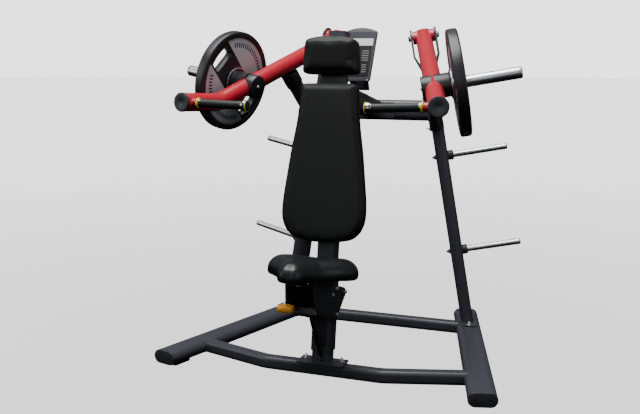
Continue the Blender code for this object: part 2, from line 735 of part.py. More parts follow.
# ---- arms ---------------------------------------------------------------------------------------
def arm_path(extra=0.0):
    """The arm's axis in the arm's frame, front end first."""
    front = (0, ARM_CAP_R, ARM_CAP_U)
    knee = (0, ARM_BEND_R, ARM_BEND_U)
    rear = (0, PIVOT_R, PIVOT_U)
    path = [front] + bend(front, knee, rear, ARM_BEND_RADIUS, 6) + [rear]
    return stretched(path, extra) if extra else path


def handle_frame(side):
    """Z from the arm's axis inwards along the handle, X level."""
    frame = arm_frame(side)
    front = frame @ Vector((0, ARM_CAP_R, ARM_CAP_U))
    knee = frame @ Vector((0, ARM_BEND_R, ARM_BEND_U))
    start = front.lerp(knee, (along_y(HANDLE_Y) - front.y) / (knee.y - front.y))
    inward = Vector((-side * math.cos(HANDLE_DROOP), -0.03, -math.sin(HANDLE_DROOP)))
    return facing(start, start + inward)


def handle_length(side):
    start = handle_frame(side).translation
    return (abs(start.x) - HANDLE_IN_X) / math.cos(HANDLE_DROOP)


STUB_END = 0.056


def arm(name, side):
    """The bent round tube with its rear cross tube, hub saddle clearance and handle stub."""
    frame = arm_frame(side)
    tube = pipe(arm_path(), ARM_R, frame, 24)
    cut(tube, beyond(frame @ Vector((0, ARM_CAP_R + CAP_T, ARM_CAP_U)),
                     frame.to_3x3() @ (Vector(arm_path()[0]) - Vector(arm_path()[1])), 0.3))
    axle = across_x(frame @ Matrix.Translation((0, PIVOT_R, PIVOT_U)))
    hollow = pipe(arm_path(0.1), ARM_R - ARM_WALL, frame, 20)
    cut(hollow, rod(CROSS_TUBE_R - 0.004, -0.1, 0.1, axle))
    behind = arm_frame(side).to_3x3() @ Vector((0, 1, 0))
    cut(hollow, beyond(frame @ Vector((0, PIVOT_R, PIVOT_U)), behind, 0.4))
    cut(tube, hollow)
    join(tube, rod(CROSS_TUBE_R, -CROSS_TUBE_HALF, CROSS_TUBE_HALF, axle))
    stub = rod(0.018, ARM_R - 0.004, STUB_END, handle_frame(side), 20)
    join(tube, stub)
    cut(tube, rod(PIN_R + 0.0004, -0.1, 0.1, axle))
    keep(tube, "red_paint", f"arm_{name}")


def arm_cap(name, side):
    frame = arm_frame(side)
    front, behind = Vector(arm_path()[0]), Vector(arm_path()[1])
    axis = facing(front, behind)
    profile = [(0, CAP_T - GAP), (ARM_R + 0.0015, CAP_T - GAP), (ARM_R + 0.0015, 0.003), (ARM_R - 0.0015, 0), (0, 0)]
    keep(turned_piece(profile, frame @ axis), "plastic", f"arm_cap_{name}")


def hub_frame(side):
    """X = side x outwards, Y along the arm to the rear, Z square to both, at the hub's centre."""
    centre = Vector((0, HUB_ALONG, arm_line_u(HUB_ALONG)))
    return arm_frame(side) @ Matrix.Translation(centre) @ Matrix.Rotation(arm_slope(), 4, "X")


def hub(name, side):
    """The sleeve through which the horn is carried, in two halves that a web joins under the arm."""
    frame = hub_frame(side)
    sleeve = rod(HUB_R, *sorted((side * HUB_IN, side * HUB_OUT)), across_x(frame), 28)
    cut(sleeve, pipe(arm_path(0.1), ARM_R + GAP, arm_frame(side), 24))
    cut(sleeve, block((0.014, 0.2, 0.1), (0, 0, 0.05), frame))
    keep(sleeve, "frame_paint", f"hub_{name}")


def weight_horn(name, side):
    """The chromed horn with the flange that the plate rests against."""
    start = HUB_OUT + GAP
    chamfer = 0.004
    profile = [(0, HORN_END), (HORN_R - chamfer, HORN_END), (HORN_R, HORN_END - chamfer), (HORN_R, start + FLANGE_T),
               (FLANGE_R, start + FLANGE_T), (FLANGE_R, start), (0, start)]
    outward = across_x(hub_frame(side))
    outward = outward if side > 0 else outward @ Matrix.Rotation(math.pi, 4, "X")
    keep(turned_piece(profile, outward, 28), "chrome", f"weight_horn_{name}")


def weight_plate(name, side):
    """A disc with a bore, and two opposed windows that leave a bar to grip between them and the rim."""
    frame = across_x(hub_frame(side)) @ Matrix.Rotation(math.radians(90), 4, "Z")
    low, high = sorted((side * (PLATE_N - PLATE_HALF), side * (PLATE_N + PLATE_HALF)))
    spread = math.degrees(math.asin(WINDOW_HALF / WINDOW_OUT))
    window = [(WINDOW_IN, -WINDOW_HALF)] + arc(0, 0, WINDOW_OUT, -spread, spread, 8) + [(WINDOW_IN, WINDOW_HALF)]
    openings = []
    for turn in (WINDOW_TURN, WINDOW_TURN + math.pi):
        turning = Matrix.Rotation(turn, 2)
        openings.append(softened([tuple(turning @ Vector(point)) for point in window], 0.006, 1))
    plate = slab([circle(PLATE_R, 48), circle(BORE_R, 28)] + openings, low, high, frame)
    keep(plate, "rubber", f"weight_plate_{name}")


def handle(name, side):
    """A chromed core with a collar and a flared end, and the grip that slides over it."""
    frame = handle_frame(side)
    length = handle_length(side)
    start, flare = STUB_END + GAP, 0.030
    collar_end = start + 0.020
    grip_end = length - flare
    flare_r, collar_r, ring_r = 0.0245, 0.0185, 0.022
    profile = [(0, length), (flare_r - 0.003, length), (flare_r, length - 0.004), (flare_r - 0.002, length - 0.012),
               (collar_r, grip_end), (CORE_R, grip_end), (CORE_R, collar_end), (collar_r, collar_end),
               (collar_r, start + 0.009), (ring_r, start + 0.009), (ring_r, start), (0, start)]
    keep(turned_piece(profile, frame), "chrome", f"handle_{name}")
    ring = [circle(GRIP_R, 24), circle(CORE_R + GAP, 24)]
    keep(slab(ring, collar_end + GAP, grip_end - GAP, frame), "rubber", f"grip_{name}")


# ---- seat ---------------------------------------------------------------------------------------
def floor_frame():
    """The machine's frame with y measured from the rails' front ends."""
    return Matrix.Translation((0, along_y(0), 0))


def seat_frame():
    """The seat's underside, tilted up at the front."""
    return floor_frame() @ Matrix.Translation((0, 0, SEAT_LOW)) @ Matrix.Rotation(-SEAT_TILT, 4, "X")


def seat_pad():
    wide, nose = SEAT_WIDE, SEAT_NOSE
    half = [(nose - 0.024, SEAT_FRONT_Y), (nose, SEAT_FRONT_Y + 0.024), (nose + 0.046, -0.160), (wide - 0.030, -0.066),
            (wide, -0.020), (wide - 0.010, 0.040), (wide - 0.060, SEAT_BACK_Y - 0.006), (0.060, SEAT_BACK_Y)]
    pad = slab([softened(mirrored(half), 0.035, 3)], 0, SEAT_T, seat_frame())
    keep(pad, "leather", "seat_pad")


def seat_low_z(y):
    """Height of the seat's underside at y, less the gap that the carriage keeps to it."""
    return SEAT_LOW - y * math.tan(SEAT_TILT) - 2 * GAP


def seat_carriage():
    """Two side plates with the seat's top plate, cross bolts and the guide rollers."""
    frame = floor_frame()
    outline = softened([(-0.146, seat_low_z(-0.146)), (-0.144, 0.398), (-0.096, 0.350), (0.110, 0.268),
                        (0.146, 0.292), (0.247, 0.361), (0.230, 0.386), (0.160, 0.410), (0.088, 0.425),
                        (0.084, seat_low_z(0.084))], 0.018, 3)
    plates = [slab([outline], *sorted((sx * SIDE_X - SIDE_T / 2, sx * SIDE_X + SIDE_T / 2)), side_view(frame))
              for sx in (-1, 1)]
    deck = block((2 * SIDE_X, 0.226, 0.006), (0, -0.030, -GAP - 0.003), seat_frame())
    carriage = join(plates[0], deck, plates[1])
    column = column_frame()
    front_face, rear_face = -SLEEVE_W / 2 - 0.0065, SLEEVE_W / 2 + 0.0005
    rollers = ((front_face - 0.013, 0.416, 0.013), (front_face - 0.013, 0.294, 0.013), (rear_face + 0.015, 0.366, 0.015))
    for offset, z, radius in rollers:
        place = column @ Vector((0, offset, up_column(z)))
        roller = rod(radius, -SIDE_X, SIDE_X, across_x(Matrix.Translation(place)), 20)
        join(carriage, roller)
    stud = rod(0.006, -SIDE_X, -0.0335, across_x(Matrix.Translation((0, along_y(GAS_HIGH.y), GAS_HIGH.z))), 12)
    keep(join(carriage, stud), "frame_paint", "seat_carriage")


LEVER_AT = Vector((0, -0.012, 0.428))
KNOB_AT = Vector((-0.052, -0.170, 0.386))


LEVER_ROD = [(-0.044, LEVER_AT.y, LEVER_AT.z), (-0.046, -0.070, 0.420), (-0.052, -0.162, 0.388)]


def seat_lever():
    """A cross rod between the side plates with a bent rod to the knob and a pawl towards the rack."""
    frame = floor_frame()
    reach = SIDE_X - SIDE_T / 2 - 0.0015
    axle = rod(0.007, -reach, reach, across_x(frame @ Matrix.Translation(LEVER_AT)), 16)
    bar = pipe(LEVER_ROD, 0.004, frame, 10)
    pawl = block((0.020, 0.062, 0.008), (0, 0.024, LEVER_AT.z - 0.004), frame)
    keep(join(axle, bar, pawl), "zinc", "seat_lever")
    y, z = KNOB_AT.y, KNOB_AT.z
    knob = slab([softened([(y + 0.020, z - 0.012), (y + 0.020, z + 0.018), (y - 0.020, z + 0.012), (y - 0.020, z - 0.018)],
                          0.008, 3)], KNOB_AT.x - 0.034, KNOB_AT.x + 0.034, side_view(frame))
    cut(knob, pipe(LEVER_ROD[-2:], 0.004 + GAP, frame, 12))
    keep(knob, "orange", "lever_knob")


def gas_spring():
    """A cylinder hung on the column's foot and a rod up to the seat carriage, each with an eye."""
    frame = floor_frame()
    low, high = GAS_LOW, GAS_HIGH
    axis = frame @ facing(low, high)
    length = (high - low).length
    body = 0.215
    cylinder = rod(0.011, 0.020, body, axis, 20)
    pivot = across_x(frame @ Matrix.Translation((0, low.y, low.z)))
    join(cylinder, rod(0.006, 0, 0.024, axis, 16), rod(0.009, low.x - 0.006, low.x + 0.006, pivot, 20))
    cut(cylinder, rod(0.004 + GAP, low.x - 0.01, low.x + 0.01, pivot, 16))
    cut(cylinder, rod(0.004 + GAP, body - 0.182, body + 0.02, axis, 16))
    keep(cylinder, "plastic", "gas_cylinder")
    stem = rod(0.004, body - 0.100, length - 0.004, axis, 12)
    eye_high = rod(0.008, -0.0285, -0.013, across_x(frame @ Matrix.Translation((0, high.y, high.z))), 16)
    keep(join(stem, eye_high), "chrome", "gas_rod")


# ---- the machine --------------------------------------------------------------------------------
def build_machine():
    for name, side in SIDES.items():
        base_rail(name, side)
        upright(name, side)
        arm_stop(name, side)
        pivot_fork(name, side)
        for level, height in STORAGE_HEIGHTS.items():
            storage_horn(name, side, level, height)
        arm(name, side)
        arm_cap(name, side)
        hub(name, side)
        weight_horn(name, side)
        weight_plate(name, side)
        handle(name, side)
    front_cross_bar()
    rear_cross_bar()
    top_cross_beam()
    spine_tube()
    main_column()
    guide_sleeve()
    pad_carrier()
    backrest()
    headrest()
    placard()
    placard_post()
    seat_pad()
    seat_carriage()
    seat_lever()
    gas_spring()


def smooth_round_faces():
    for obj in PARTS.objects:
        obj.data.shade_smooth()
        obj.data.set_sharp_from_angle(angle=math.radians(35))


build_machine()
smooth_round_faces()
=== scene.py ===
# %% [markdown]
# # Finishing a plate-loaded press machine
# The solids of the machine are fixed already: they say where every tube, pad and plate is. What they lack
# is finish. This notebook builds smooth tubes, rounded plates, welds, bolts, stuffed pads and materials
# around them, one piece after another, and hides the plain solid that each piece stands for.

# %% Load the solids as a fixed frame
import json
import math

import bmesh
import bpy
from mathutils import Matrix, Vector
from mathutils.bvhtree import BVHTree
from mathutils.kdtree import KDTree


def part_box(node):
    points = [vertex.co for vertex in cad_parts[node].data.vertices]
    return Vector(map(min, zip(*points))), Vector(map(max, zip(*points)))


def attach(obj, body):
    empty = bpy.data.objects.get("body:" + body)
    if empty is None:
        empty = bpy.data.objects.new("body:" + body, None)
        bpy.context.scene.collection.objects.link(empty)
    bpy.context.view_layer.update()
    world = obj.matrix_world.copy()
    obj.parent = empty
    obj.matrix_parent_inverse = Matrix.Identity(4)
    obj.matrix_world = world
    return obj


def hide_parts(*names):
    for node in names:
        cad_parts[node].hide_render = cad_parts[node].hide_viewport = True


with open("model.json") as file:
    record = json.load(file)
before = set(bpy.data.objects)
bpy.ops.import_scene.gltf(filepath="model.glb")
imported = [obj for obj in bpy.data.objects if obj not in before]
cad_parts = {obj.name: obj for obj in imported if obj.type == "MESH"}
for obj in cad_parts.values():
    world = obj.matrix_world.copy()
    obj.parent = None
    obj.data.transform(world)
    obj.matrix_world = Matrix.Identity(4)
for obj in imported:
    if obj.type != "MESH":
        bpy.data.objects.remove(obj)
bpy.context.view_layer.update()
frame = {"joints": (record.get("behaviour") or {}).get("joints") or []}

# %% [markdown]
# ## Two frames of reference
# The machine is a mirror image about X = 0, so each side piece is made once, on the right, and mirrored.
# Everything about an arm lies in one leaning plane: its tube, the upright and the stop. A point there is
# easy to say as (out, back, up), in the directions of the hinge pin, the rail and the upright. The hinge in
# the record gives all three.

# %% The leaning frame of the right arm and the frame of the column
PIVOT_BACK, PIVOT_UP = 1.015, 1.464
hinge = {joint["name"]: joint for joint in frame["joints"]}
out = -Vector(hinge["right_arm_hinge"]["axis"])
back = Vector((0, 0, 1)).cross(out).normalized()
up = out.cross(back)
pivot = Vector(hinge["right_arm_hinge"]["pos_m"])
corner = pivot - back * PIVOT_BACK - up * PIVOT_UP      # the middle of the rail's front end
MID_Y = -corner.y


def placed(x_axis, y_axis, z_axis, origin):
    """A frame from its three directions and its origin."""
    return Matrix.Translation(origin) @ Matrix((x_axis, y_axis, z_axis)).transposed().to_4x4()


ARM = placed(out, back, up, corner)
RAIL = placed(Vector((back.y, -back.x, 0)), back, Vector((0, 0, 1)), corner)

slide = Vector(hinge["seat_slide"]["axis"])
FOOT_Y, FOOT_Z = 0.122, 0.106            # where the column's axis starts
level_x, world_up = Vector((1, 0, 0)), Vector((0, 0, 1))
COLUMN = placed(level_x, slide.cross(level_x), slide, Vector((0, FOOT_Y - MID_Y, FOOT_Z)))


def spun(angle, axis):
    return Matrix.Rotation(angle, 4, axis)


def on(place, *point):
    """A point of a frame, in the machine's own coordinates."""
    return place @ Vector(point)


def up_column(z):
    """How far up the column's axis a height is."""
    return (z - COLUMN.translation.z) / slide.z


def column_y(z):
    """Where the column's axis is at a height."""
    return FOOT_Y - MID_Y + (z - FOOT_Z) * slide.y / slide.z


splay = math.atan2(-back.x, back.y)
print("lean", round(math.degrees(math.asin(out.z)), 2), "splay", round(math.degrees(splay), 2))

# %% [markdown]
# ## Shader maths written as expressions
# A material is a small network of nodes. Written out one node at a time it is hard to read, so one class
# wraps a socket, and sums and products on it add the Math nodes.

# %% The socket wrapper
class Wire:
    """A node's output, or a number, that takes part in sums."""

    def __init__(self, tree, socket):
        self.tree, self.socket = tree, socket

    def math(self, operation, *values, clamp=False):
        return node(self.tree, "ShaderNodeMath", dict(operation=operation, use_clamp=clamp), [self, *values])

    def __add__(self, other):
        return self.math("ADD", other)

    __radd__ = __add__

    def __mul__(self, other):
        return self.math("MULTIPLY", other)

    __rmul__ = __mul__

    def __sub__(self, other):
        return self.math("SUBTRACT", other)

    def __rsub__(self, other):
        return (self * -1.0) + other

    def __gt__(self, other):
        return self.math("GREATER_THAN", other)

    def __lt__(self, other):
        return self.math("LESS_THAN", other)


def node(tree, kind, settings=None, values=(), output=0):
    """A node with its settings made first, then the values or links of its sockets, by order or by name."""
    made = tree.nodes.new(kind)
    for key, value in (settings or {}).items():
        setattr(made, key, value)
    pairs = values.items() if isinstance(values, dict) else enumerate(values)
    for name, value in pairs:
        if isinstance(value, Wire):
            tree.links.new(value.socket, made.inputs[name])
        else:
            made.inputs[name].default_value = value
    return Wire(tree, made.outputs[output])


def surface(name, **constants):
    """A new material, its tree and its shader, with constants set on the shader's own sockets."""
    made = bpy.data.materials.new(name)
    made.use_nodes = True
    tree = made.node_tree
    shader = tree.nodes["Principled BSDF"]
    for key, value in constants.items():
        socket = shader.inputs[key.replace("_", " ")]
        socket.default_value = (*value, 1) if isinstance(value, tuple) and len(value) == 3 else value
    return made, tree, shader


def feed(tree, shader, name, wire):
    tree.links.new(wire.socket, shader.inputs[name])


def object_point(tree):
    return node(tree, "ShaderNodeTexCoord", output=3)


def noise(tree, scale, detail=3.0, rough=0.55, at=None):
    return node(tree, "ShaderNodeTexNoise", None,
                {"Vector": at or object_point(tree), "Scale": scale, "Detail": detail, "Roughness": rough})


def bump(tree, shader, height, depth, strength=1.0):
    """Turns a height between 0 and 1 into relief of that depth in metres."""
    relief = node(tree, "ShaderNodeBump", None, {"Height": height, "Distance": depth, "Strength": strength})
    feed(tree, shader, "Normal", relief)
    return relief


def between(tree, factor, dark, light):
    """A colour from dark to light as the factor goes from 0 to 1."""
    mix = node(tree, "ShaderNodeMix", dict(data_type="RGBA"), output=2)
    made = mix.socket.node
    tree.links.new(factor.socket, made.inputs["Factor"])
    for slot, shade in ((6, dark), (7, light)):
        if isinstance(shade, Wire):
            tree.links.new(shade.socket, made.inputs[slot])
        else:
            made.inputs[slot].default_value = (*shade, 1)
    return mix


# %% [markdown]
# ## Paint, chrome, rubber and moulded plastic
# The frame is powder coated: the powder melts into a skin with a faint orange peel. The arms have the same
# skin in a glossier red. The plated metals differ mostly in how sharp their reflections are. Each finish
# gets its grain at its real size, from noise in the object's own coordinates.

# %% Powder coat, gloss red and the plated metals
def powder_coat(name, deep, pale, rough, peel, coat=0.0):
    made, tree, shader = surface(name, Coat_Weight=coat, Coat_Roughness=0.18, Specular_IOR_Level=0.5)
    drift = noise(tree, 5.0, 4.0)
    speck = noise(tree, 1400.0, 1.0)
    feed(tree, shader, "Base Color", between(tree, drift * 0.75 + speck * 0.25, deep, pale))
    feed(tree, shader, "Roughness", drift * 0.10 + (rough - 0.05) + speck * 0.04)
    bump(tree, shader, noise(tree, 420.0, 2.0) * 0.7 + speck * 0.3, peel)
    return made


frame_coat = powder_coat("frame_coat", (0.038, 0.042, 0.053), (0.050, 0.055, 0.068), 0.36, 0.00012)
arm_coat = powder_coat("arm_coat", (0.40, 0.008, 0.022), (0.47, 0.012, 0.030), 0.28, 0.00008, coat=0.25)


def polished(name, color, rough, streak):
    made, tree, shader = surface(name, Base_Color=color, Metallic=1.0)
    point = object_point(tree)
    long = node(tree, "ShaderNodeMapping", None, {"Vector": point, "Scale": (1.0, 14.0, 14.0)})
    brush = noise(tree, 60.0, 4.0, at=long)
    smear = noise(tree, 9.0, 3.0)
    feed(tree, shader, "Roughness", brush * streak + smear * (streak * 0.7) + rough)
    bump(tree, shader, brush, 0.00002)
    return made


satin = polished("satin_chrome", (0.72, 0.745, 0.80), 0.24, 0.12)
rod_steel = polished("rod_steel", (0.075, 0.077, 0.082), 0.16, 0.08)
dark_chrome = polished("dark_chrome", (0.40, 0.385, 0.34), 0.10, 0.08)
zinc = polished("zinc_plate", (0.84, 0.85, 0.87), 0.30, 0.14)
steel_black = powder_coat("blackened_steel", (0.020, 0.021, 0.024), (0.035, 0.036, 0.040), 0.42, 0.00005)
print(len(bpy.data.materials), "materials so far")

# %% Rubber and moulded plastics
def moulded(name, deep, pale, rough, grain, depth):
    """Plastic or rubber: an even colour, and the fine spark texture of the mould."""
    made, tree, shader = surface(name, Specular_IOR_Level=0.45)
    spark = noise(tree, grain, 2.0)
    drift = noise(tree, 7.0, 3.0)
    feed(tree, shader, "Base Color", between(tree, drift * 0.8 + spark * 0.2, deep, pale))
    feed(tree, shader, "Roughness", drift * 0.12 + spark * 0.08 + (rough - 0.10))
    bump(tree, shader, spark, depth)
    return made


cap_plastic = moulded("cap_plastic", (0.026, 0.029, 0.036), (0.036, 0.039, 0.047), 0.46, 900.0, 0.00010)
hub_plastic = moulded("hub_plastic", (0.012, 0.013, 0.014), (0.020, 0.021, 0.023), 0.38, 700.0, 0.00008)
rack_plastic = moulded("rack_plastic", (0.008, 0.008, 0.009), (0.014, 0.014, 0.015), 0.50, 900.0, 0.00010)
rubber = moulded("rubber", (0.010, 0.011, 0.012), (0.018, 0.019, 0.021), 0.48, 500.0, 0.00012)
tyre_rubber = moulded("plate_rubber", (0.013, 0.014, 0.017), (0.022, 0.024, 0.028), 0.36, 650.0, 0.00010)
placard_plastic = moulded("placard_plastic", (0.036, 0.040, 0.050), (0.046, 0.051, 0.062), 0.42, 800.0,
                          0.00010)
plate_grey = powder_coat("plate_grey", (0.40, 0.425, 0.47), (0.48, 0.505, 0.55), 0.30, 0.00006, coat=0.2)
plate_coat = powder_coat("plate_coat", (0.026, 0.027, 0.031), (0.033, 0.034, 0.039), 0.38, 0.00008)
gas_black = powder_coat("gas_black", (0.012, 0.013, 0.015), (0.018, 0.019, 0.022), 0.24, 0.00003, coat=0.3)
knob_orange = moulded("knob_orange", (0.72, 0.28, 0.012), (0.84, 0.36, 0.022), 0.38, 600.0, 0.00012)
ring_yellow = moulded("ring_yellow", (0.60, 0.56, 0.010), (0.70, 0.66, 0.020), 0.36, 900.0, 0.00006)
cap_blue = moulded("cap_blue", (0.010, 0.014, 0.060), (0.016, 0.022, 0.090), 0.28, 900.0, 0.00004)
board_plastic = moulded("board_plastic", (0.020, 0.021, 0.024), (0.030, 0.031, 0.034), 0.50, 800.0, 0.00015)
print(len(bpy.data.materials), "materials")

# %% [markdown]
# ## From curve to tube with Geometry Nodes
# Most of the machine is tube that follows a path: it could be extruded and bent by hand, but a node tree
# says the rule itself. The path's corners are rounded to the bender's radius, a rounded outline is swept
# along it, and the ends are closed. One tree then makes rails, uprights, beams and both arms.

# %% A tree that bends a tube along a path
def tree_with(name, sockets):
    """A new Geometry Nodes tree with named inputs, its input node and its output node."""
    made = bpy.data.node_groups.new(name, "GeometryNodeTree")
    for label, kind in sockets:
        made.interface.new_socket(label, in_out="INPUT", socket_type="NodeSocket" + kind)
    made.interface.new_socket("Geometry", in_out="OUTPUT", socket_type="NodeSocketGeometry")
    return made, made.nodes.new("NodeGroupInput"), made.nodes.new("NodeGroupOutput")


def end_tree(tree, geometry, finish, result):
    """Ends a tree with its material."""
    coated = gnode(tree, "SetMaterial", None, {"Geometry": geometry.outputs[0], "Material": finish})
    tree.links.new(coated.outputs[0], result.inputs[0])
    return tree


def gnode(tree, kind, settings=None, links=None):
    """A geometry node, its settings, and its inputs as values or other outputs."""
    made = tree.nodes.new("GeometryNode" + kind if not kind.startswith(("Function", "Shader")) else kind)
    for key, value in (settings or {}).items():
        setattr(made, key, value)
    for name, value in (links or {}).items():
        if isinstance(value, bpy.types.NodeSocket):
            tree.links.new(value, made.inputs[name])
        else:
            made.inputs[name].default_value = value
    return made


def bent_tube_tree():
    tree, given, result = tree_with("bent tube", [("Path", "Geometry"), ("Width", "Float"),
                                                  ("Height", "Float"), ("Corner", "Float"),
                                                  ("Bend", "Float"), ("Finish", "Material")])
    get = given.outputs
    line = gnode(tree, "MeshToCurve", None, {"Mesh": get["Path"]})
    eased = gnode(tree, "FilletCurve", dict(mode="POLY"),
                  {"Curve": line.outputs[0], "Radius": get["Bend"], "Count": 14, "Limit Radius": True})
    level = gnode(tree, "SetCurveNormal", dict(mode="Z_UP"), {"Curve": eased.outputs[0]})
    box = gnode(tree, "CurvePrimitiveQuadrilateral", None, {"Width": get["Width"], "Height": get["Height"]})
    section = gnode(tree, "FilletCurve", dict(mode="POLY"),
                    {"Curve": box.outputs[0], "Radius": get["Corner"], "Count": 14, "Limit Radius": True})
    swept = gnode(tree, "CurveToMesh", None,
                  {"Curve": level.outputs[0], "Profile Curve": section.outputs[0], "Fill Caps": True})
    return end_tree(tree, swept, get["Finish"], result)


BENT_TUBE = bent_tube_tree()


def linked(name, data):
    """A new object, linked to the scene."""
    made = bpy.data.objects.new(name, data)
    bpy.context.scene.collection.objects.link(made)
    return made


def plain_mesh(obj):
    """The object's mesh as its modifiers leave it."""
    bpy.context.view_layer.update()
    return bpy.data.meshes.new_from_object(obj.evaluated_get(bpy.context.evaluated_depsgraph_get()))


def mesh_from(name, work):
    """A mesh from a bmesh that is done with."""
    mesh = bpy.data.meshes.new(name)
    work.to_mesh(mesh)
    work.free()
    return mesh


def grown(tree, points, values, edges=None, facing=None):
    """The plain mesh that a tree grows on points, with its inputs set by the sockets' own identifiers."""
    data = bpy.data.meshes.new("seed")
    data.from_pydata([tuple(p) for p in points], edges or [], [])
    if facing:
        for label, vectors in facing.items():
            layer = data.attributes.new(label, "FLOAT_VECTOR", "POINT")
            layer.data.foreach_set("vector", [c for v in vectors for c in v])
    seed = linked("seed", data)
    step = seed.modifiers.new("grow", "NODES")
    step.node_group = tree
    names = {item.name: item.identifier for item in tree.interface.items_tree if item.in_out == "INPUT"}
    for label, value in values.items():
        step[names[label]] = value
    mesh = plain_mesh(seed)
    bpy.data.objects.remove(seed)
    bpy.data.meshes.remove(data)
    return mesh


def piece(name, mesh, material=None, sharp=30.0, weld=0.00001):
    """A finished object: doubles merged, faces outwards, smooth up to an angle."""
    work = bmesh.new()
    work.from_mesh(mesh)
    bmesh.ops.remove_doubles(work, verts=work.verts, dist=weld)
    bmesh.ops.recalc_face_normals(work, faces=work.faces)
    work.to_mesh(mesh)
    work.free()
    if material:
        mesh.materials.clear()
        mesh.materials.append(material)
    mesh.shade_smooth()
    mesh.set_sharp_from_angle(angle=math.radians(sharp))
    mesh.name = name
    return linked(name, mesh)


def tube(name, path, width, height, material, corner=None, bend=0.0):
    """A tube along a path of points. Its corners are half the smaller side unless given."""
    radius = min(width, height) / 2 * 0.9995 if corner is None else corner
    values = {"Width": width, "Height": height, "Corner": radius, "Bend": bend, "Finish": material}
    mesh = grown(BENT_TUBE, path, values, [(i, i + 1) for i in range(len(path) - 1)])
    return piece(name, mesh, material)


# %% [markdown]
# ## Cutting, joining and rounding
# Where one tube meets another its end is coped to the other's shape. A Boolean does that. A Bevel then
# takes the knife edge off what a saw or a press would leave sharp.

# %% Helpers that cut, join, bevel and mirror
def applied(obj):
    """The object with its modifiers turned into plain mesh."""
    mesh = plain_mesh(obj)
    obj.modifiers.clear()
    obj.data = mesh
    return obj


def boolean(base, other, operation):
    step = base.modifiers.new("join", "BOOLEAN")
    step.operation, step.solver, step.object = operation, "EXACT", other
    applied(base)
    bpy.data.objects.remove(other)
    return base


def cut(base, *others):
    for other in others:
        boolean(base, other, "DIFFERENCE")
    return base


def join(base, *others):
    for other in others:
        boolean(base, other, "UNION")
    return base


def rounded(obj, width, segments=3, angle=40.0):
    step = obj.modifiers.new("round", "BEVEL")
    step.width, step.segments, step.limit_method = width, segments, "ANGLE"
    step.angle_limit, step.harden_normals = math.radians(angle), False
    applied(obj)
    return smooth(obj, 20.0)


def smooth(obj, angle=30.0):
    obj.data.shade_smooth()
    obj.data.set_sharp_from_angle(angle=math.radians(angle))
    return obj


def side_of(plane_point, normal, size=0.5):
    """A block that fills the side of a plane its normal points to."""
    z_axis = normal.normalized()
    x_axis = z_axis.orthogonal().normalized()
    place = placed(x_axis, z_axis.cross(x_axis), z_axis, plane_point)
    work = bmesh.new()
    bmesh.ops.create_cube(work, size=size, matrix=place @ Matrix.Translation((0, 0, size / 2)))
    return linked("block", mesh_from("block", work))


finished, told = [], []


def tell():
    """Prints the pieces finished since the last time, and how many faces they have."""
    fresh = finished[len(told):]
    told.extend(fresh)
    print(len(fresh), "pieces,", sum(len(obj.data.polygons) for obj in fresh), "faces:",
          ", ".join(obj.name for obj in fresh))


def finish(obj, body, slot, replaces=(), material=None):
    """Hands a piece to its body and hides the solids it stands for. Its slot is not used."""
    if material:
        obj.data.materials.clear()
        obj.data.materials.append(material)
    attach(obj, body)
    if replaces:
        obj.name = f"{replaces[0]}_piece"
        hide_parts(*replaces)
    finished.append(obj)
    return obj


def both_sides(obj, body, slot, replaces=(), material=None):
    """Finishes the right-hand piece and its mirror image. "@" stands for the side in every name."""
    named = obj.name
    mesh = obj.data.copy()
    mesh.transform(Matrix.Scale(-1, 4, (1, 0, 0)))
    mesh.flip_normals()
    obj.name = f"{named}_right"
    for side, made in (("right", obj), ("left", linked(f"{named}_left", mesh))):
        finish(made, body.replace("@", side), slot, [n.replace("@", side) for n in replaces], material)
    return obj


# %% [markdown]
# ## Turned and flat parts
# Caps, collars, pins and horns are turned on a lathe: half an outline spun round an axis. Brackets and
# flanges are cut from plate: a flat outline with a thickness and a small round on its edges.

# %% Helpers that turn and stamp
def arc(cx, cy, radius, start, end, count):
    """Points of an arc between two angles in degrees."""
    angles = [math.radians(start + (end - start) * i / count) for i in range(count + 1)]
    return [(cx + radius * math.cos(a), cy + radius * math.sin(a)) for a in angles]


def softened(corners, radius, count=5, closed=True):
    """An outline whose corners (x, y, optional own radius) are rounded."""
    points = []
    for i, corner_point in enumerate(corners):
        here = Vector(corner_point[:2])
        if not closed and i in (0, len(corners) - 1):
            points.append((here.x, here.y))
            continue
        before = Vector(corners[i - 1][:2]) - here
        after = Vector(corners[(i + 1) % len(corners)][:2]) - here
        size = corner_point[2] if len(corner_point) > 2 else radius
        reach = min(size, before.length * 0.48, after.length * 0.48)
        start, end = here + before.normalized() * reach, here + after.normalized() * reach
        for step in range(count + 1):
            t = step / count
            point = start * (1 - t) ** 2 + here * 2 * t * (1 - t) + end * t ** 2
            points.append((point.x, point.y))
    return points


def mirrored(half):
    """An outline from its right half, bottom to top."""
    return half + [(-x, y) for x, y in reversed(half)]


def both_ends(profile):
    """A turned profile from its upper half."""
    return profile + [(r, -z) for r, z in reversed(profile)]


def looped(profile):
    """A profile that closes on itself, for a ring."""
    return profile + profile[:1]


def box_outline(width, height, radius, count=8):
    half_w, half_h = width / 2, height / 2
    return softened(mirrored([(half_w, -half_h), (half_w, half_h)]), radius, count)


def turned(name, profile, place, material, sides=64, sharp=32.0):
    """(radius, height) pairs spun about the frame's Z."""
    work = bmesh.new()
    rings = []
    for radius, height in profile:
        count = sides if radius > 1e-6 else 1
        rings.append([work.verts.new(place @ Vector((radius * math.cos(math.tau * i / sides),
                                                     radius * math.sin(math.tau * i / sides), height)))
                      for i in range(count)])
    for first, second in zip(rings, rings[1:]):
        for i in range(sides):
            j = (i + 1) % sides
            loop = {id(v): v for v in (first[i % len(first)], first[j % len(first)], second[j % len(second)],
                                      second[i % len(second)])}
            if len(loop) > 2:
                work.faces.new(loop.values())
    return piece(name, mesh_from(name, work), material, sharp)


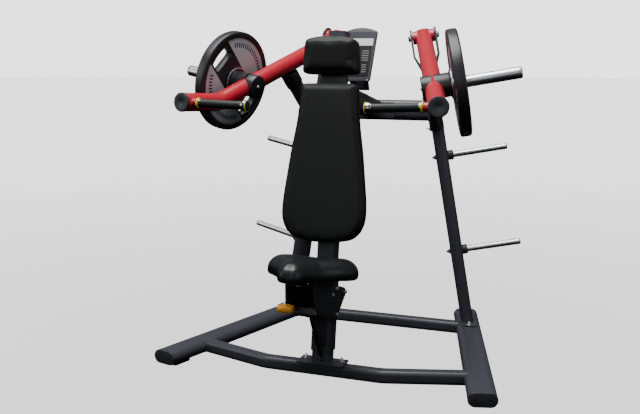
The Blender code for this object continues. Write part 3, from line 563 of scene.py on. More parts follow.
def stamped(name, outlines, low, high, place, material, edge=0.0):
    """Flat outlines in a frame's XY plane, from z = low to z = high, with rounded edges."""
    data = bpy.data.curves.new(name, "CURVE")
    data.dimensions, data.fill_mode = "2D", "BOTH"
    data.extrude = (high - low) / 2 - edge
    data.bevel_depth, data.bevel_resolution, data.offset = edge, 2, -edge
    for outline in outlines:
        spline = data.splines.new("POLY")
        spline.points.add(len(outline) - 1)
        for point, (x, y) in zip(spline.points, outline):
            point.co = (x, y, 0, 1)
        spline.use_cyclic_u = True
    holder = linked(name, data)
    mesh = plain_mesh(holder)
    bpy.data.objects.remove(holder)
    mesh.transform(place @ Matrix.Translation((0, 0, (low + high) / 2)))
    return piece(name, mesh, material, 25)


def axis_x(place):
    """The frame turned so that Z runs along its old X."""
    return place @ spun(math.radians(90), "Y")


def side_view(place):
    """The frame turned so that an outline's x, y are its old Y, Z."""
    return place @ Matrix(((0, 0, 1, 0), (1, 0, 0, 0), (0, 1, 0, 0), (0, 0, 0, 1)))


def front_view(place):
    """The frame turned so that an outline's x, y are its old X, Z, and Z points forwards."""
    return place @ Matrix(((1, 0, 0, 0), (0, 0, -1, 0), (0, 1, 0, 0), (0, 0, 0, 1)))


def shift(place, *amount):
    return place @ Matrix.Translation(amount)


def facing(start, end, over=Vector((0, 0, 1))):
    """A frame with Z from start to end and X across, square to 'over'."""
    z_axis = (end - start).normalized()
    x_axis = over.cross(z_axis).normalized()
    return placed(x_axis, z_axis.cross(x_axis), z_axis, start)


# %% [markdown]
# ## Welds and fasteners, grown on points
# A weld bead is a row of overlapping puddles, and a machine like this has dozens of equal bolts. Both
# repeat, so both are grown: a small shape is put on each point, turned to face the right way, and made
# real.

# %% The tree that puts one shape on many points
def planted_tree():
    tree, given, result = tree_with("planted", [("Points", "Geometry"), ("Shape", "Object"),
                                                ("Size", "Float"), ("Finish", "Material")])
    get = given.outputs
    normal = gnode(tree, "InputNamedAttribute", dict(data_type="FLOAT_VECTOR"), {"Name": "facing"})
    side = gnode(tree, "InputNamedAttribute", dict(data_type="FLOAT_VECTOR"), {"Name": "along"})
    turn = gnode(tree, "FunctionNodeAxesToRotation", dict(primary_axis="Z", secondary_axis="X"),
                 {"Primary Axis": normal.outputs[0], "Secondary Axis": side.outputs[0]})
    shape = gnode(tree, "ObjectInfo", None, {"Object": get["Shape"]})
    put = gnode(tree, "InstanceOnPoints", None, {"Points": get["Points"],
                                                 "Instance": shape.outputs["Geometry"],
                                                 "Rotation": turn.outputs[0]})
    size = gnode(tree, "ScaleInstances", None, {"Instances": put.outputs[0], "Scale": get["Size"]})
    real = gnode(tree, "RealizeInstances", None, {"Geometry": size.outputs[0]})
    return end_tree(tree, real, get["Finish"], result)


PLANTED = planted_tree()


def planted(name, shape, places, material, size=1.0):
    """The shape on each (point, facing, along), as one mesh."""
    points, normals, sides = zip(*places)
    values = {"Shape": shape, "Size": size, "Finish": material}
    return piece(name, grown(PLANTED, points, values, None, {"facing": normals, "along": sides}), material,
                 weld=0)


# %% The shapes: a weld puddle, a hexagon bolt head with its washer, a nut on its stud, and a socket screw
def shape(name, mesh_maker):
    made = mesh_maker(name)
    made.hide_render = True
    return made


def puddle(name):
    work = bmesh.new()
    bmesh.ops.create_icosphere(work, subdivisions=2, radius=1.0)
    bmesh.ops.scale(work, vec=(0.75, 1.0, 0.62), verts=work.verts)
    return piece(name, mesh_from(name, work), frame_coat, 180)


PUDDLE = shape("puddle", puddle)


def hexagon(across, low, high, place=Matrix.Identity(4)):
    """A hexagon prism with its corners turned off, as on a bolt head."""
    radius = across / 2 / math.cos(math.radians(30))
    prism = stamped("hexagon", [arc(0, 0, radius, 0, 300, 5)], low, high, place, zinc)
    chamfer = (radius - across / 2) * 0.9
    cone = turned("cone", [(0, high + 0.001), (across / 2, high + 0.0001),
                           (radius + 0.001, high - chamfer * 1.2), (radius + 0.001, low - 0.01),
                           (0, low - 0.01)], place, zinc, 48)
    return boolean(prism, cone, "INTERSECT")


def bolt_head(name):
    washer = turned(name, [(0, 0.0), (0.0115, 0.0), (0.012, 0.0004), (0.012, 0.0016), (0.0115, 0.002),
                           (0, 0.002)], Matrix.Identity(4), zinc, 40)
    join(washer, hexagon(0.017, 0.0019, 0.0095))
    washer.name = name
    return smooth(washer)


def stud_nut(name):
    base = bolt_head(name)
    thread = [(0, 0.0165), (0.0040, 0.0165)]
    for i in range(6):
        z = 0.0158 - i * 0.0011
        thread += [(0.0049, z), (0.0043, z - 0.00055)]
    thread += [(0.0049, 0.009), (0, 0.009)]
    join(base, turned("stud", thread, Matrix.Identity(4), zinc, 32))
    base.name = name
    return smooth(base)


def socket_screw(name):
    dome = [(0, 0.0030), (0.0020, 0.0029), (0.0036, 0.0023), (0.0046, 0.0012), (0.0049, 0.0), (0, 0.0)]
    head = turned(name, dome, Matrix.Identity(4), zinc, 32)
    cut(head, stamped("socket", [arc(0, 0, 0.0021, 0, 300, 5)], 0.0012, 0.01, Matrix.Identity(4), zinc))
    head.name = name
    return smooth(head)


def index_mark(name):
    """A short raised bar, long towards the centre of the plate."""
    return stamped(name, [box_outline(0.0065, 0.022, 0.0020, 2)], -0.0002, 0.0006, Matrix.Identity(4),
                   zinc, 0.0002)


def thread_stitch(name):
    """One stitch: a short thread that dips into the cover at both ends."""
    work = bmesh.new()
    bmesh.ops.create_uvsphere(work, u_segments=6, v_segments=4, radius=1.0)
    bmesh.ops.scale(work, vec=(0.0016, 0.00045, 0.00035), verts=work.verts)
    return piece(name, mesh_from(name, work), zinc, 180)


BOLT = shape("bolt", bolt_head)
STITCH = shape("stitch", thread_stitch)
MARK = shape("mark", index_mark)
NUT = shape("nut", stud_nut)
SCREW = shape("screw", socket_screw)


# %% Weld beads where one tube meets another
def surface_of(obj):
    bpy.context.view_layer.update()
    return BVHTree.FromObject(obj, bpy.context.evaluated_depsgraph_get())


def ring_on(target, place, outline, reach=1.2):
    """Where lines along the frame's Z, from each point of an outline, land on a piece."""
    tree, ring = surface_of(target), []
    direction = place.to_3x3() @ Vector((0, 0, 1))
    for x, y in outline:
        hit, normal, _, _ = tree.ray_cast(on(place, x, y, 0), direction, reach)
        if hit is not None:
            ring.append((hit, normal))
    return ring


def oval(width, height, count=16):
    """A flat oval, its long side along the first axis."""
    r = min(width, height) / 2
    if width >= height:
        return arc(width / 2 - r, 0, r, -90, 90, count) + arc(r - width / 2, 0, r, 90, 270, count)
    return arc(0, height / 2 - r, r, 0, 180, count) + arc(0, r - height / 2, r, 180, 360, count)


def bead(name, ring, size=0.0032, pitch=0.0034, closed=True, material=None):
    """A weld bead of overlapping puddles along a ring of (point, normal)."""
    line = ring + ring[:1] if closed else ring
    places, left = [], 0.0
    for (start, normal), (end, _) in zip(line, line[1:]):
        gap = (end - start).length
        if gap < 1e-6:
            continue
        along = (end - start).normalized()
        while left < gap:
            places.append((start + along * left, normal, along))
            left += pitch
        left -= gap
    return planted(name, PUDDLE, places, material or frame_coat, size)

# %% [markdown]
# ## The base
# Two flat-oval rails lie on rubber feet and open out towards the front. A bar bent at two places ties their
# front ends and carries the column, and a straight bar ties them at the rear. The ends of both bars are
# coped to the rails and welded all round.

# %% Rails, end caps and feet
RAIL_W, RAIL_H, RAIL_L, CAP_T = 0.122, 0.062, 1.216, 0.012
CAP_SCREW_X, SCREW_IN = 0.030, 0.0036
FOOT_H = RAIL.translation.z - RAIL_H / 2

rail = tube("base_rail", [on(RAIL, 0, CAP_T * 0.8, 0), on(RAIL, 0, RAIL_L - CAP_T * 0.8, 0)], RAIL_W,
            RAIL_H, frame_coat)
both_sides(rail, "frame", "frame_paint", ["base_rail_@"])


def rail_cap(name, start):
    """A moulded plug: a face with a soft edge, and two recesses for its screws."""
    place = shift(front_view(RAIL), 0, 0, -start)
    cap = stamped(name, [oval(RAIL_W + 0.001, RAIL_H + 0.001)], -CAP_T, 0, place, cap_plastic, 0.0028)
    for x in (-CAP_SCREW_X, CAP_SCREW_X):
        cut(cap, turned("recess", [(0, 0.001), (0.0045, 0.001), (0.0042, -0.004), (0, -0.004)],
                        shift(place, x, 0, 0 if start == 0 else -CAP_T), cap_plastic, 32))
    return smooth(cap)


both_sides(rail_cap("rail_cap_front", 0), "frame", "plastic", ["rail_cap_front_@"])
both_sides(rail_cap("rail_cap_rear", RAIL_L - CAP_T), "frame", "plastic", ["rail_cap_rear_@"])
cap_screws = [(on(RAIL, x, y, 0), way, level_x) for y, way in ((SCREW_IN, -back), (RAIL_L - SCREW_IN, back))
              for x in (-CAP_SCREW_X, CAP_SCREW_X)]
both_sides(planted("cap_screws", SCREW, cap_screws, steel_black, 0.85), "frame", "zinc")


for end, place_along in (("front", 0.085), ("rear", RAIL_L - 0.085)):
    place = shift(RAIL, 0, place_along, -RAIL.translation.z)
    foot = stamped(f"foot_{end}", [box_outline(0.075, 0.100, 0.012)], 0, FOOT_H + 0.002, place, rubber,
                   0.0025)
    both_sides(foot, "frame", "rubber", [f"foot_{end}_@"])
tell()

# %% The two cross bars
BAR = 0.060
FRONT_Y, REAR_Y, BEND_X, FRONT_END_Y = 0.125, 0.935, 0.270, 0.236


def rail_x(y):
    """The rail's centre line, y behind its front end."""
    return corner.x - y * math.tan(splay)


def cross_bar(name, half_path, bend):
    """A rounded-square bar, mirrored about X = 0 and coped to both rails."""
    path = [(-x, y, z) for x, y, z in reversed(half_path)] + half_path
    bar = tube(name, path, BAR, BAR, frame_coat, corner=0.020, bend=bend)
    for side in (1, -1):
        ends = [on(RAIL, 0, -0.05, 0), on(RAIL, 0, RAIL_L + 0.05, 0)]
        cope = tube("cope", [(side * p.x, p.y, p.z) for p in ends], RAIL_W, RAIL_H, frame_coat)
        cut(bar, cope)
    return smooth(bar)


bar_z = corner.z
front_half = [(BEND_X, FRONT_Y - MID_Y, bar_z), (rail_x(FRONT_END_Y) - 0.03, FRONT_END_Y - MID_Y, bar_z)]
front_bar = cross_bar("front_cross_bar", front_half, 0.18)
finish(front_bar, "frame", "frame_paint", ["front_cross_bar"])
rear_half = [(rail_x(REAR_Y) - 0.03, REAR_Y - MID_Y, bar_z)]
rear_bar = cross_bar("rear_cross_bar", rear_half, 0.0)
finish(rear_bar, "frame", "frame_paint", ["rear_cross_bar"])

for name, start, end in (("front_bar_weld", front_half[0], front_half[1]),
                         ("rear_bar_weld", (0.1, REAR_Y - MID_Y, bar_z), rear_half[0])):
    run = facing(Vector(start), Vector(end))
    ring = ring_on(rail, run, box_outline(BAR, BAR, 0.020), 0.8)
    both_sides(bead(name, ring), "frame", "frame_paint")
tell()

# %% [markdown]
# ## Uprights, beam and spine
# Each upright is a tall flat-oval tube on a foot plate bolted to the rail. It leans in and is tied to its
# twin by a beam. From the beam a spine runs forward to the head of the column, so that the seat and its
# pads hang between the arms.

# %% Uprights on their foot plates
UPRIGHT_BACK, UPRIGHT_W, UPRIGHT_D, UPRIGHT_TOP, PLATE_T = 0.978, 0.060, 0.120, 1.300, 0.008

plate_low = RAIL_H / 2 + 0.0003
upright_foot = shift(RAIL, 0, UPRIGHT_BACK, 0)
upright = tube("upright", [on(ARM, 0, UPRIGHT_BACK, 0.036), on(ARM, 0, UPRIGHT_BACK, UPRIGHT_TOP)],
               UPRIGHT_D, UPRIGHT_W, frame_coat)
cut(upright, side_of(on(upright_foot, 0, 0, plate_low + 0.002), Vector((0, 0, -1))))
base_plate = stamped("upright_plate", [box_outline(0.078, 0.190, 0.010)], plate_low, plate_low + PLATE_T,
                     upright_foot, frame_coat, 0.0015)
down_upright = facing(on(ARM, 0, UPRIGHT_BACK, 0.25), on(ARM, 0, UPRIGHT_BACK, 0.0))
both_sides(bead("upright_weld", ring_on(base_plate, down_upright, oval(UPRIGHT_D, UPRIGHT_W))), "frame",
           "frame_paint")
both_sides(smooth(upright), "frame", "frame_paint", ["upright_@"])
both_sides(base_plate, "frame", "frame_paint")
foot_nuts = [(on(upright_foot, 0, y, plate_low + PLATE_T), world_up, level_x) for y in (-0.080, 0.080)]
tell()

# %% The beam with its end flanges, and the spine
BEAM_Z, BEAM_H, BEAM_D, BEAM_Y = 1.130, 0.100, 0.060, 0.893 - MID_Y
beam = tube("top_cross_beam", [(-0.36, BEAM_Y, BEAM_Z), (0.36, BEAM_Y, BEAM_Z)], BEAM_D, BEAM_H, frame_coat)
inner_face = on(ARM, -(UPRIGHT_W / 2 + 0.0015), UPRIGHT_BACK, 1.0)
mirror_x = Matrix.Scale(-1, 3, (1, 0, 0))
cut(beam, side_of(inner_face, out), side_of(mirror_x @ inner_face, mirror_x @ out))
finish(smooth(beam), "frame", "frame_paint", ["top_cross_beam"])

FLANGE_UP, FLANGE_BACK = 1.098, UPRIGHT_BACK - 0.022
flange_place = shift(side_view(ARM), FLANGE_BACK, FLANGE_UP, 0)
face_n = UPRIGHT_W / 2 + 0.0003
flange = stamped("beam_flange", [box_outline(0.070, 0.175, 0.012)], -face_n - PLATE_T, -face_n, flange_place,
                 frame_coat, 0.0015)
both_sides(bead("beam_weld", ring_on(flange, facing(Vector((0.1, BEAM_Y, BEAM_Z)),
                                                    Vector((0.3, BEAM_Y, BEAM_Z))), oval(BEAM_D, BEAM_H))),
           "frame", "frame_paint")
both_sides(flange, "frame", "frame_paint")
flange_nuts = [(on(ARM, -face_n - PLATE_T, FLANGE_BACK, u), -out, back)
               for u in (FLANGE_UP - 0.072, FLANGE_UP + 0.074)]

SPINE_FRONT_Z = 1.226
spine_back = BEAM_Y - BEAM_D / 2 - 0.0003
spine_path = [Vector((0, column_y(SPINE_FRONT_Z), SPINE_FRONT_Z + 0.008)),
              Vector((0, spine_back - PLATE_T / 2, BEAM_Z))]
spine = tube("spine_tube", spine_path, 0.060, 0.094, frame_coat, corner=0.014)
finish(spine, "frame", "frame_paint", ["spine_tube"])
spine_flange = stamped("spine_flange", [box_outline(0.200, 0.078, 0.008)], 0, PLATE_T,
                       front_view(Matrix.Translation((0, spine_back, BEAM_Z))), frame_coat, 0.0015)
finish(spine_flange, "frame", "frame_paint")
weld = bead("spine_weld", ring_on(spine_flange, facing(spine_path[0], spine_path[1]),
                                  box_outline(0.060, 0.094, 0.014)))
finish(weld, "frame", "frame_paint")
tell()

# %% [markdown]
# ## The column
# The seat and the pads hang on one square column that leans back a little. Its foot plate is bolted through
# the front bar. A plastic sleeve round its lower part guides the seat, and a strip of teeth down the front
# of the sleeve takes the seat's pawl.

# %% Column, foot plate and cap
COLUMN_W, COLUMN_TOP = 0.080, 1.490
column = tube("main_column", [on(COLUMN, 0, 0, -0.035), on(COLUMN, 0, 0, up_column(COLUMN_TOP - 0.006))],
              COLUMN_W, COLUMN_W, frame_coat, corner=0.014)
foot_z = bar_z + BAR / 2 + 0.0003
foot_y = column_y(foot_z)
cut(column, side_of(Vector((0, foot_y, foot_z + 0.002)), Vector((0, 0, -1))))
finish(smooth(column), "frame", "frame_paint", ["main_column"])
column_plate = stamped("column_plate", [box_outline(0.212, 0.096, 0.008)], foot_z, foot_z + PLATE_T,
                       Matrix.Translation((0, foot_y, 0)), frame_coat, 0.0015)
down_column = facing(on(COLUMN, 0, 0, 0.1), on(COLUMN, 0, 0, 0))
finish(bead("column_weld", ring_on(column_plate, down_column, box_outline(COLUMN_W, COLUMN_W, 0.014))),
       "frame", "frame_paint")
finish(column_plate, "frame", "frame_paint")
column_nuts = [(Vector((x, 0.136 - MID_Y, foot_z + PLATE_T)), world_up, level_x) for x in (-0.083, 0.083)]
top_cap = stamped("column_cap", [box_outline(COLUMN_W + 0.001, COLUMN_W + 0.001, 0.016)], -0.006, 0.0,
                  shift(COLUMN, 0, 0, up_column(COLUMN_TOP)), cap_plastic, 0.0025)
finish(top_cap, "frame", "plastic")

nuts = foot_nuts + flange_nuts
both_sides(planted("frame_nuts", NUT, nuts, zinc, 0.92), "frame", "zinc")
finish(planted("column_nuts", NUT, column_nuts, zinc, 1.0), "frame", "zinc")
tell()

# %% The guide sleeve and its rack
SLEEVE_W, SLEEVE_LOW, SLEEVE_HIGH = 0.091, 0.128, 0.520
sleeve = tube("guide_sleeve", [on(COLUMN, 0, 0, up_column(z)) for z in (SLEEVE_LOW, SLEEVE_HIGH)], SLEEVE_W,
              SLEEVE_W, cap_plastic, corner=0.018)
finish(rounded(sleeve, 0.0015, 2), "frame", "plastic", ["guide_sleeve"])


def rack_tree():
    """A row of equal ridges along a line."""
    tree, given, result = tree_with("rack", [("Geometry", "Geometry"), ("Count", "Int"), ("Pitch", "Float"),
                                             ("Width", "Float"), ("Depth", "Float"), ("Finish", "Material")])
    get = given.outputs
    line = gnode(tree, "MeshLine", None, {"Count": get["Count"]})
    offset = tree.nodes.new("ShaderNodeCombineXYZ")
    tree.links.new(get["Pitch"], offset.inputs["Z"])
    tree.links.new(offset.outputs[0], line.inputs["Offset"])
    size = tree.nodes.new("ShaderNodeCombineXYZ")
    tree.links.new(get["Width"], size.inputs["X"])
    tree.links.new(get["Depth"], size.inputs["Y"])
    size.inputs["Z"].default_value = 0.0085
    ridge = gnode(tree, "MeshCube", None, {"Size": size.outputs[0]})
    put = gnode(tree, "InstanceOnPoints", None, {"Points": line.outputs[0], "Instance": ridge.outputs[0]})
    real = gnode(tree, "RealizeInstances", None, {"Geometry": put.outputs[0]})
    return end_tree(tree, real, get["Finish"], result)


ridges = grown(rack_tree(), [(0, 0, 0)], {"Count": 17, "Pitch": 0.016, "Width": 0.050, "Depth": 0.006,
                                          "Finish": rack_plastic})
rack_low = up_column(0.150)
ridges.transform(shift(COLUMN, 0, -SLEEVE_W / 2 - 0.0022, rack_low + 0.018))
rack = piece("rack_teeth", ridges, rack_plastic)
finish(rounded(rack, 0.0014, 2), "frame", "plastic")
strip = stamped("rack_strip", [box_outline(0.056, 0.300, 0.010)], 0, 0.0028,
                shift(front_view(COLUMN), 0, rack_low + 0.150, SLEEVE_W / 2 - 0.0004), rack_plastic, 0.0008)
finish(strip, "frame", "plastic")
tell()

# %% [markdown]
# ## Plate storage
# Two satin horns stand out from each upright to hold spare plates. A collar keeps a plate off the tube, and
# a nut on the inside draws each horn tight. All four are turned parts, so a profile says everything.

# %% Storage horns, collars and their nuts
PEG_R, PEG_END, COLLAR_R, COLLAR_L = 0.0145, 0.317, 0.024, 0.026
near = UPRIGHT_W / 2 + 0.0003
horn_nuts = []
for level, height in (("lower", 0.402), ("upper", 0.878)):
    place = axis_x(shift(ARM, 0, UPRIGHT_BACK, height))
    far, start = near + COLLAR_L, near + COLLAR_L + 0.0003
    collar = turned(f"storage_collar_{level}", [(0, near), (0.0225, near), (COLLAR_R, near + 0.0015),
                                                (COLLAR_R, far - 0.003), (0.0225, far - 0.0008),
                                                (0.019, far), (0, far)], place, cap_plastic)
    both_sides(collar, "frame", "plastic", [f"storage_collar_{level}_@"])
    profile = [(0, PEG_END), (0.0095, PEG_END), (0.0112, PEG_END - 0.0006),
               (PEG_R - 0.0006, PEG_END - 0.0036), (PEG_R, PEG_END - 0.005), (PEG_R, PEG_END - 0.012),
               (PEG_R - 0.0006, PEG_END - 0.0124), (PEG_R - 0.0006, PEG_END - 0.0136),
               (PEG_R, PEG_END - 0.014), (PEG_R, start), (0, start)]
    both_sides(turned(f"storage_horn_{level}", profile, place, satin, 48), "frame", "chrome",
               [f"storage_horn_{level}_@"])
    horn_nuts.append((on(ARM, -near, UPRIGHT_BACK, height), -out, back))
both_sides(planted("horn_nuts", NUT, horn_nuts, steel_black, 1.1), "frame", "zinc")
tell()

# %% [markdown]
# ## Arm stops and pivots
# A short tube rises from each upright and meets the resting arm with a rubber bumper. On top of the upright
# two flared ears carry the pivot pin. The ears are cut from thick plate, so they get a small round on each
# edge.

# %% The arm's line, its stop and the bumper
ARM_R, CAP_BACK, CAP_UP, KNEE_BACK, KNEE_UP = 0.039, -0.061, 1.1736, 0.171, 1.165
arm_slope = math.atan2(PIVOT_UP - KNEE_UP, PIVOT_BACK - KNEE_BACK)


def arm_line(along, off=0.0):
    """Height of the rising arm's axis, moved square to it by 'off'."""
    return KNEE_UP + math.tan(arm_slope) * (along - KNEE_BACK) + off / math.cos(arm_slope)


STOP_W, STOP_D, STOP_SLOPE, STOP_ALONG = 0.060, 0.076, math.radians(41.3), 0.6487
stop_top = Vector((0, STOP_ALONG, arm_line(STOP_ALONG, -ARM_R)))
stop_down = Vector((0, math.cos(STOP_SLOPE), -math.sin(STOP_SLOPE)))
STOP = ARM @ facing(stop_top, stop_top + stop_down, Vector((1, 0, 0))) @ spun(math.radians(90), "Z")
over_arm = (ARM.to_3x3() @ Vector((0, -math.sin(arm_slope), math.cos(arm_slope)))).normalized()
contact = STOP.translation - over_arm * 0.0006

stop = stamped("arm_stop", [oval(STOP_W, STOP_D, 20)], -0.1, 0.42, STOP, frame_coat)
cut(stop, side_of(contact - over_arm * 0.012, over_arm))
grown_upright = stamped("grown", [oval(UPRIGHT_W, UPRIGHT_D)], 0.2, 1.5, shift(ARM, 0, UPRIGHT_BACK, 0),
                        frame_coat)
cut(stop, grown_upright, side_of(on(ARM, 0, UPRIGHT_BACK, 1.0), back))
stop_ring = ring_on(upright, shift(STOP, 0, 0, 0.05), oval(STOP_W, STOP_D))
both_sides(bead("stop_weld", stop_ring), "frame", "frame_paint")
both_sides(smooth(stop), "frame", "frame_paint", ["arm_stop_@"])
bumper = stamped("stop_bumper", [oval(STOP_W + 0.011, STOP_D + 0.011, 20)], -0.1, 0.083, STOP, rubber, 0.002)
cut(bumper, side_of(contact, over_arm))
both_sides(rounded(bumper, 0.0022, 3), "frame", "rubber", ["stop_bumper_@"])
tell()

# %% The forks
FORK_LOW, EAR_IN, EAR_OUT, KINK = UPRIGHT_TOP + 0.0003, 0.0535, 0.0635, 1.372
half = [(0.036, FORK_LOW), (EAR_OUT, KINK), (EAR_OUT, PIVOT_UP + 0.050), (EAR_IN, PIVOT_UP + 0.050),
        (EAR_IN, KINK + 0.002), (0.026, FORK_LOW + 0.012)]
fork = stamped("pivot_fork", [mirrored(half)], -PIVOT_BACK - 0.06, -UPRIGHT_BACK + 0.06,
               front_view(ARM), frame_coat)
ear = arc(PIVOT_BACK, PIVOT_UP, 0.040, 0, 180, 32) + [(0.940, KINK), (0.935, FORK_LOW - 0.01),
                                                      (1.022, FORK_LOW - 0.01), (1.030, KINK)]
boolean(fork, stamped("ear", [ear], -0.08, 0.08, side_view(ARM), frame_coat),
        "INTERSECT")
both_sides(rounded(fork, 0.0018, 2), "frame", "frame_paint", ["pivot_fork_@"])
fork_ring = [(on(ARM, x, UPRIGHT_BACK + y, UPRIGHT_TOP), up) for x, y in oval(UPRIGHT_W, UPRIGHT_D)]
both_sides(bead("fork_weld", fork_ring), "frame", "frame_paint")
tell()

# %% The pins, with a washer and a nut on each end
PIVOT = axis_x(shift(ARM, 0, PIVOT_BACK, PIVOT_UP))
end = EAR_OUT + 0.0003
pin_half = [(0, end + 0.0028), (0.0160, end + 0.0028), (0.0165, end + 0.0024), (0.0165, end + 0.0004),
            (0.0160, end), (0.0100, end)]
pin = turned("pivot_pin", both_ends(pin_half), PIVOT, zinc)
both_sides(pin, "frame", "zinc", ["pivot_pin_@"])
for side, turn in (("outer", 0), ("inner", 180)):
    place = PIVOT @ spun(math.radians(turn), "X")
    nut = hexagon(0.024, end + 0.0024, end + 0.0112, place)
    nut.name = f"pivot_nut_{side}"
    both_sides(smooth(nut), "frame", "zinc", material=steel_black)
tell()

# %% [markdown]
# ## The arms
# Each arm is one bent tube that hangs from the pivot, passes over its stop and levels out in front. Its
# rear end is rounded over a cross tube that holds the bearing. The front end has a plug, and the handle's
# stub is welded to its inner side.

# %% The red tube with its cross tube and stub
CROSS_R, CROSS_HALF, STUB_END = 0.031, 0.0525, 0.056
front_end = Vector((0, CAP_BACK, CAP_UP))
knee = Vector((0, KNEE_BACK, KNEE_UP))
rear_end = Vector((0, PIVOT_BACK, PIVOT_UP))
level_run, rising_run = (knee - front_end).normalized(), (rear_end - knee).normalized()


def arm_tube(name, start, stop, radius):
    path = [on(ARM, *(front_end + level_run * start)), on(ARM, *knee),
            on(ARM, *(rear_end + rising_run * stop))]
    return tube(name, path, 2 * radius, 2 * radius, arm_coat, radius * 0.9999, 0.16)


arm = arm_tube("arm", CAP_T * 0.8, 0.0, ARM_R)
rear_part = arm_tube("rear", 0.5, 0.06, ARM_R - 0.0001)
round_end = turned("round", both_ends([(0, 0.045), (ARM_R - 0.0004, 0.045)]), PIVOT, arm_coat, 96)
boolean(rear_part, round_end, "INTERSECT")
cross_half = [(0, CROSS_HALF), (CROSS_R - 0.0015, CROSS_HALF), (CROSS_R, CROSS_HALF - 0.0015)]
cross = turned("cross", both_ends(cross_half), PIVOT, arm_coat, 72)
handle_y, droop = -0.079, math.radians(2.0)
cap_point, knee_point = on(ARM, *front_end), on(ARM, *knee)
share = (handle_y - MID_Y - cap_point.y) / (knee_point.y - cap_point.y)
handle_start = cap_point.lerp(knee_point, share)
HANDLE = facing(handle_start, handle_start + Vector((-math.cos(droop), -0.03, -math.sin(droop))))
stub = turned("stub", [(0, 0.02), (0.018, 0.02), (0.018, STUB_END - 0.001), (0.017, STUB_END),
                       (0, STUB_END)], HANDLE, arm_coat, 48)
join(arm, rear_part, cross, stub)
probe = arm_tube("probe", 0, 0, ARM_R)
from_grip = HANDLE @ Matrix.Translation((0, 0, 0.08)) @ spun(math.pi, "X")
stub_ring = [(hit + normal * 0.0002, normal)
             for hit, normal in ring_on(probe, from_grip, arc(0, 0, 0.018, 0, 350, 35))]
bpy.data.objects.remove(probe)
both_sides(bead("stub_weld", stub_ring, 0.0026, 0.003, material=arm_coat), "@_arm", "red_paint")
both_sides(smooth(arm), "@_arm", "red_paint", ["arm_@"])
tell()

# %% The plug in the arm's front end
cap_place = ARM @ facing(front_end, knee)
plug = turned("arm_cap", [(0, CAP_T), (ARM_R + 0.0010, CAP_T), (ARM_R + 0.0015, CAP_T - 0.001),
                          (ARM_R + 0.0015, 0.004), (ARM_R + 0.0006, 0.0014), (ARM_R - 0.0015, 0.0003),
                          (ARM_R - 0.004, 0), (0.012, 0.0004), (0.011, 0.0010), (0, 0.0010)], cap_place,
              cap_plastic, 72)
both_sides(plug, "@_arm", "plastic", ["arm_cap_@"])
tell()

# %% The handle: a chromed core with a collar and a bell, the grip between them, and coloured rings
LENGTH = (abs(HANDLE.translation.x) - 0.246) / math.cos(droop)
start, grip_end = STUB_END + 0.0003, LENGTH - 0.030
collar_end = start + 0.0165
core = [(0, LENGTH - 0.006), (0.0215, LENGTH - 0.006), (0.0235, LENGTH - 0.0075), (0.0240, LENGTH - 0.010)]
core += [(0.0240 - 0.0055 * (1 - math.cos(t)), LENGTH - 0.010 - 0.018 * math.sin(t)) for t in
         [math.radians(90) * i / 8 for i in range(1, 9)]]
core += [(0.0185, grip_end + 0.0008), (0.0175, grip_end), (0.0135, grip_end), (0.0135, collar_end),
         (0.0178, collar_end), (0.0185, collar_end - 0.001), (0.0185, start + 0.0095),
         (0.0165, start + 0.009), (0.0165, start), (0, start)]
both_sides(turned("handle", core, HANDLE, dark_chrome, 56), "@_arm", "chrome", ["handle_@"])
ring = [(0.0170, start + 0.0090), (0.0210, start + 0.0088), (0.0220, start + 0.0078),
        (0.0220, start + 0.0012), (0.0210, start + 0.0002), (0.0170, start)]
both_sides(turned("handle_ring", looped(ring), HANDLE, ring_yellow, 56), "@_arm", "plastic")
end_ring = [(0.0170, LENGTH - 0.0066), (0.0238, LENGTH - 0.0062), (0.0243, LENGTH - 0.0054),
            (0.0243, LENGTH - 0.0034), (0.0236, LENGTH - 0.0026), (0.0170, LENGTH - 0.0026)]
both_sides(turned("handle_end_ring", looped(end_ring), HANDLE, ring_yellow, 56), "@_arm", "plastic")
cap = [(0, LENGTH), (0.0150, LENGTH - 0.0002), (0.0195, LENGTH - 0.0008), (0.0212, LENGTH - 0.0020),
       (0.0214, LENGTH - 0.0036), (0.0, LENGTH - 0.0036)]
both_sides(turned("handle_end_cap", cap, HANDLE, cap_blue, 56), "@_arm", "plastic")

GRIP_R = 0.0175
steps = 44
grip = [(0.0139, collar_end + 0.0003), (0.0164, collar_end + 0.0003), (GRIP_R, collar_end + 0.0012)]
low, high = collar_end + 0.004, grip_end - 0.004
for i in range(steps):
    z = low + (high - low) * i / steps
    pitch = (high - low) / steps
    grip += [(GRIP_R, z + 0.20 * pitch), (GRIP_R - 0.0005, z + 0.32 * pitch),
             (GRIP_R - 0.0005, z + 0.55 * pitch), (GRIP_R, z + 0.70 * pitch)]
grip += [(GRIP_R, grip_end - 0.0012), (0.0164, grip_end - 0.0003), (0.0139, grip_end - 0.0003)]
both_sides(turned("grip", looped(grip), HANDLE, rubber, 56), "@_arm", "rubber", ["grip_@"])
tell()

# %% [markdown]
# ## Hub, horn and weight plate
# A black sleeve straddles each arm and carries the horn for the working plates. The plate is cast iron in a
# rubber coat: a thick rim, a thinner web with two windows to hold it by, and metallic faces between them.

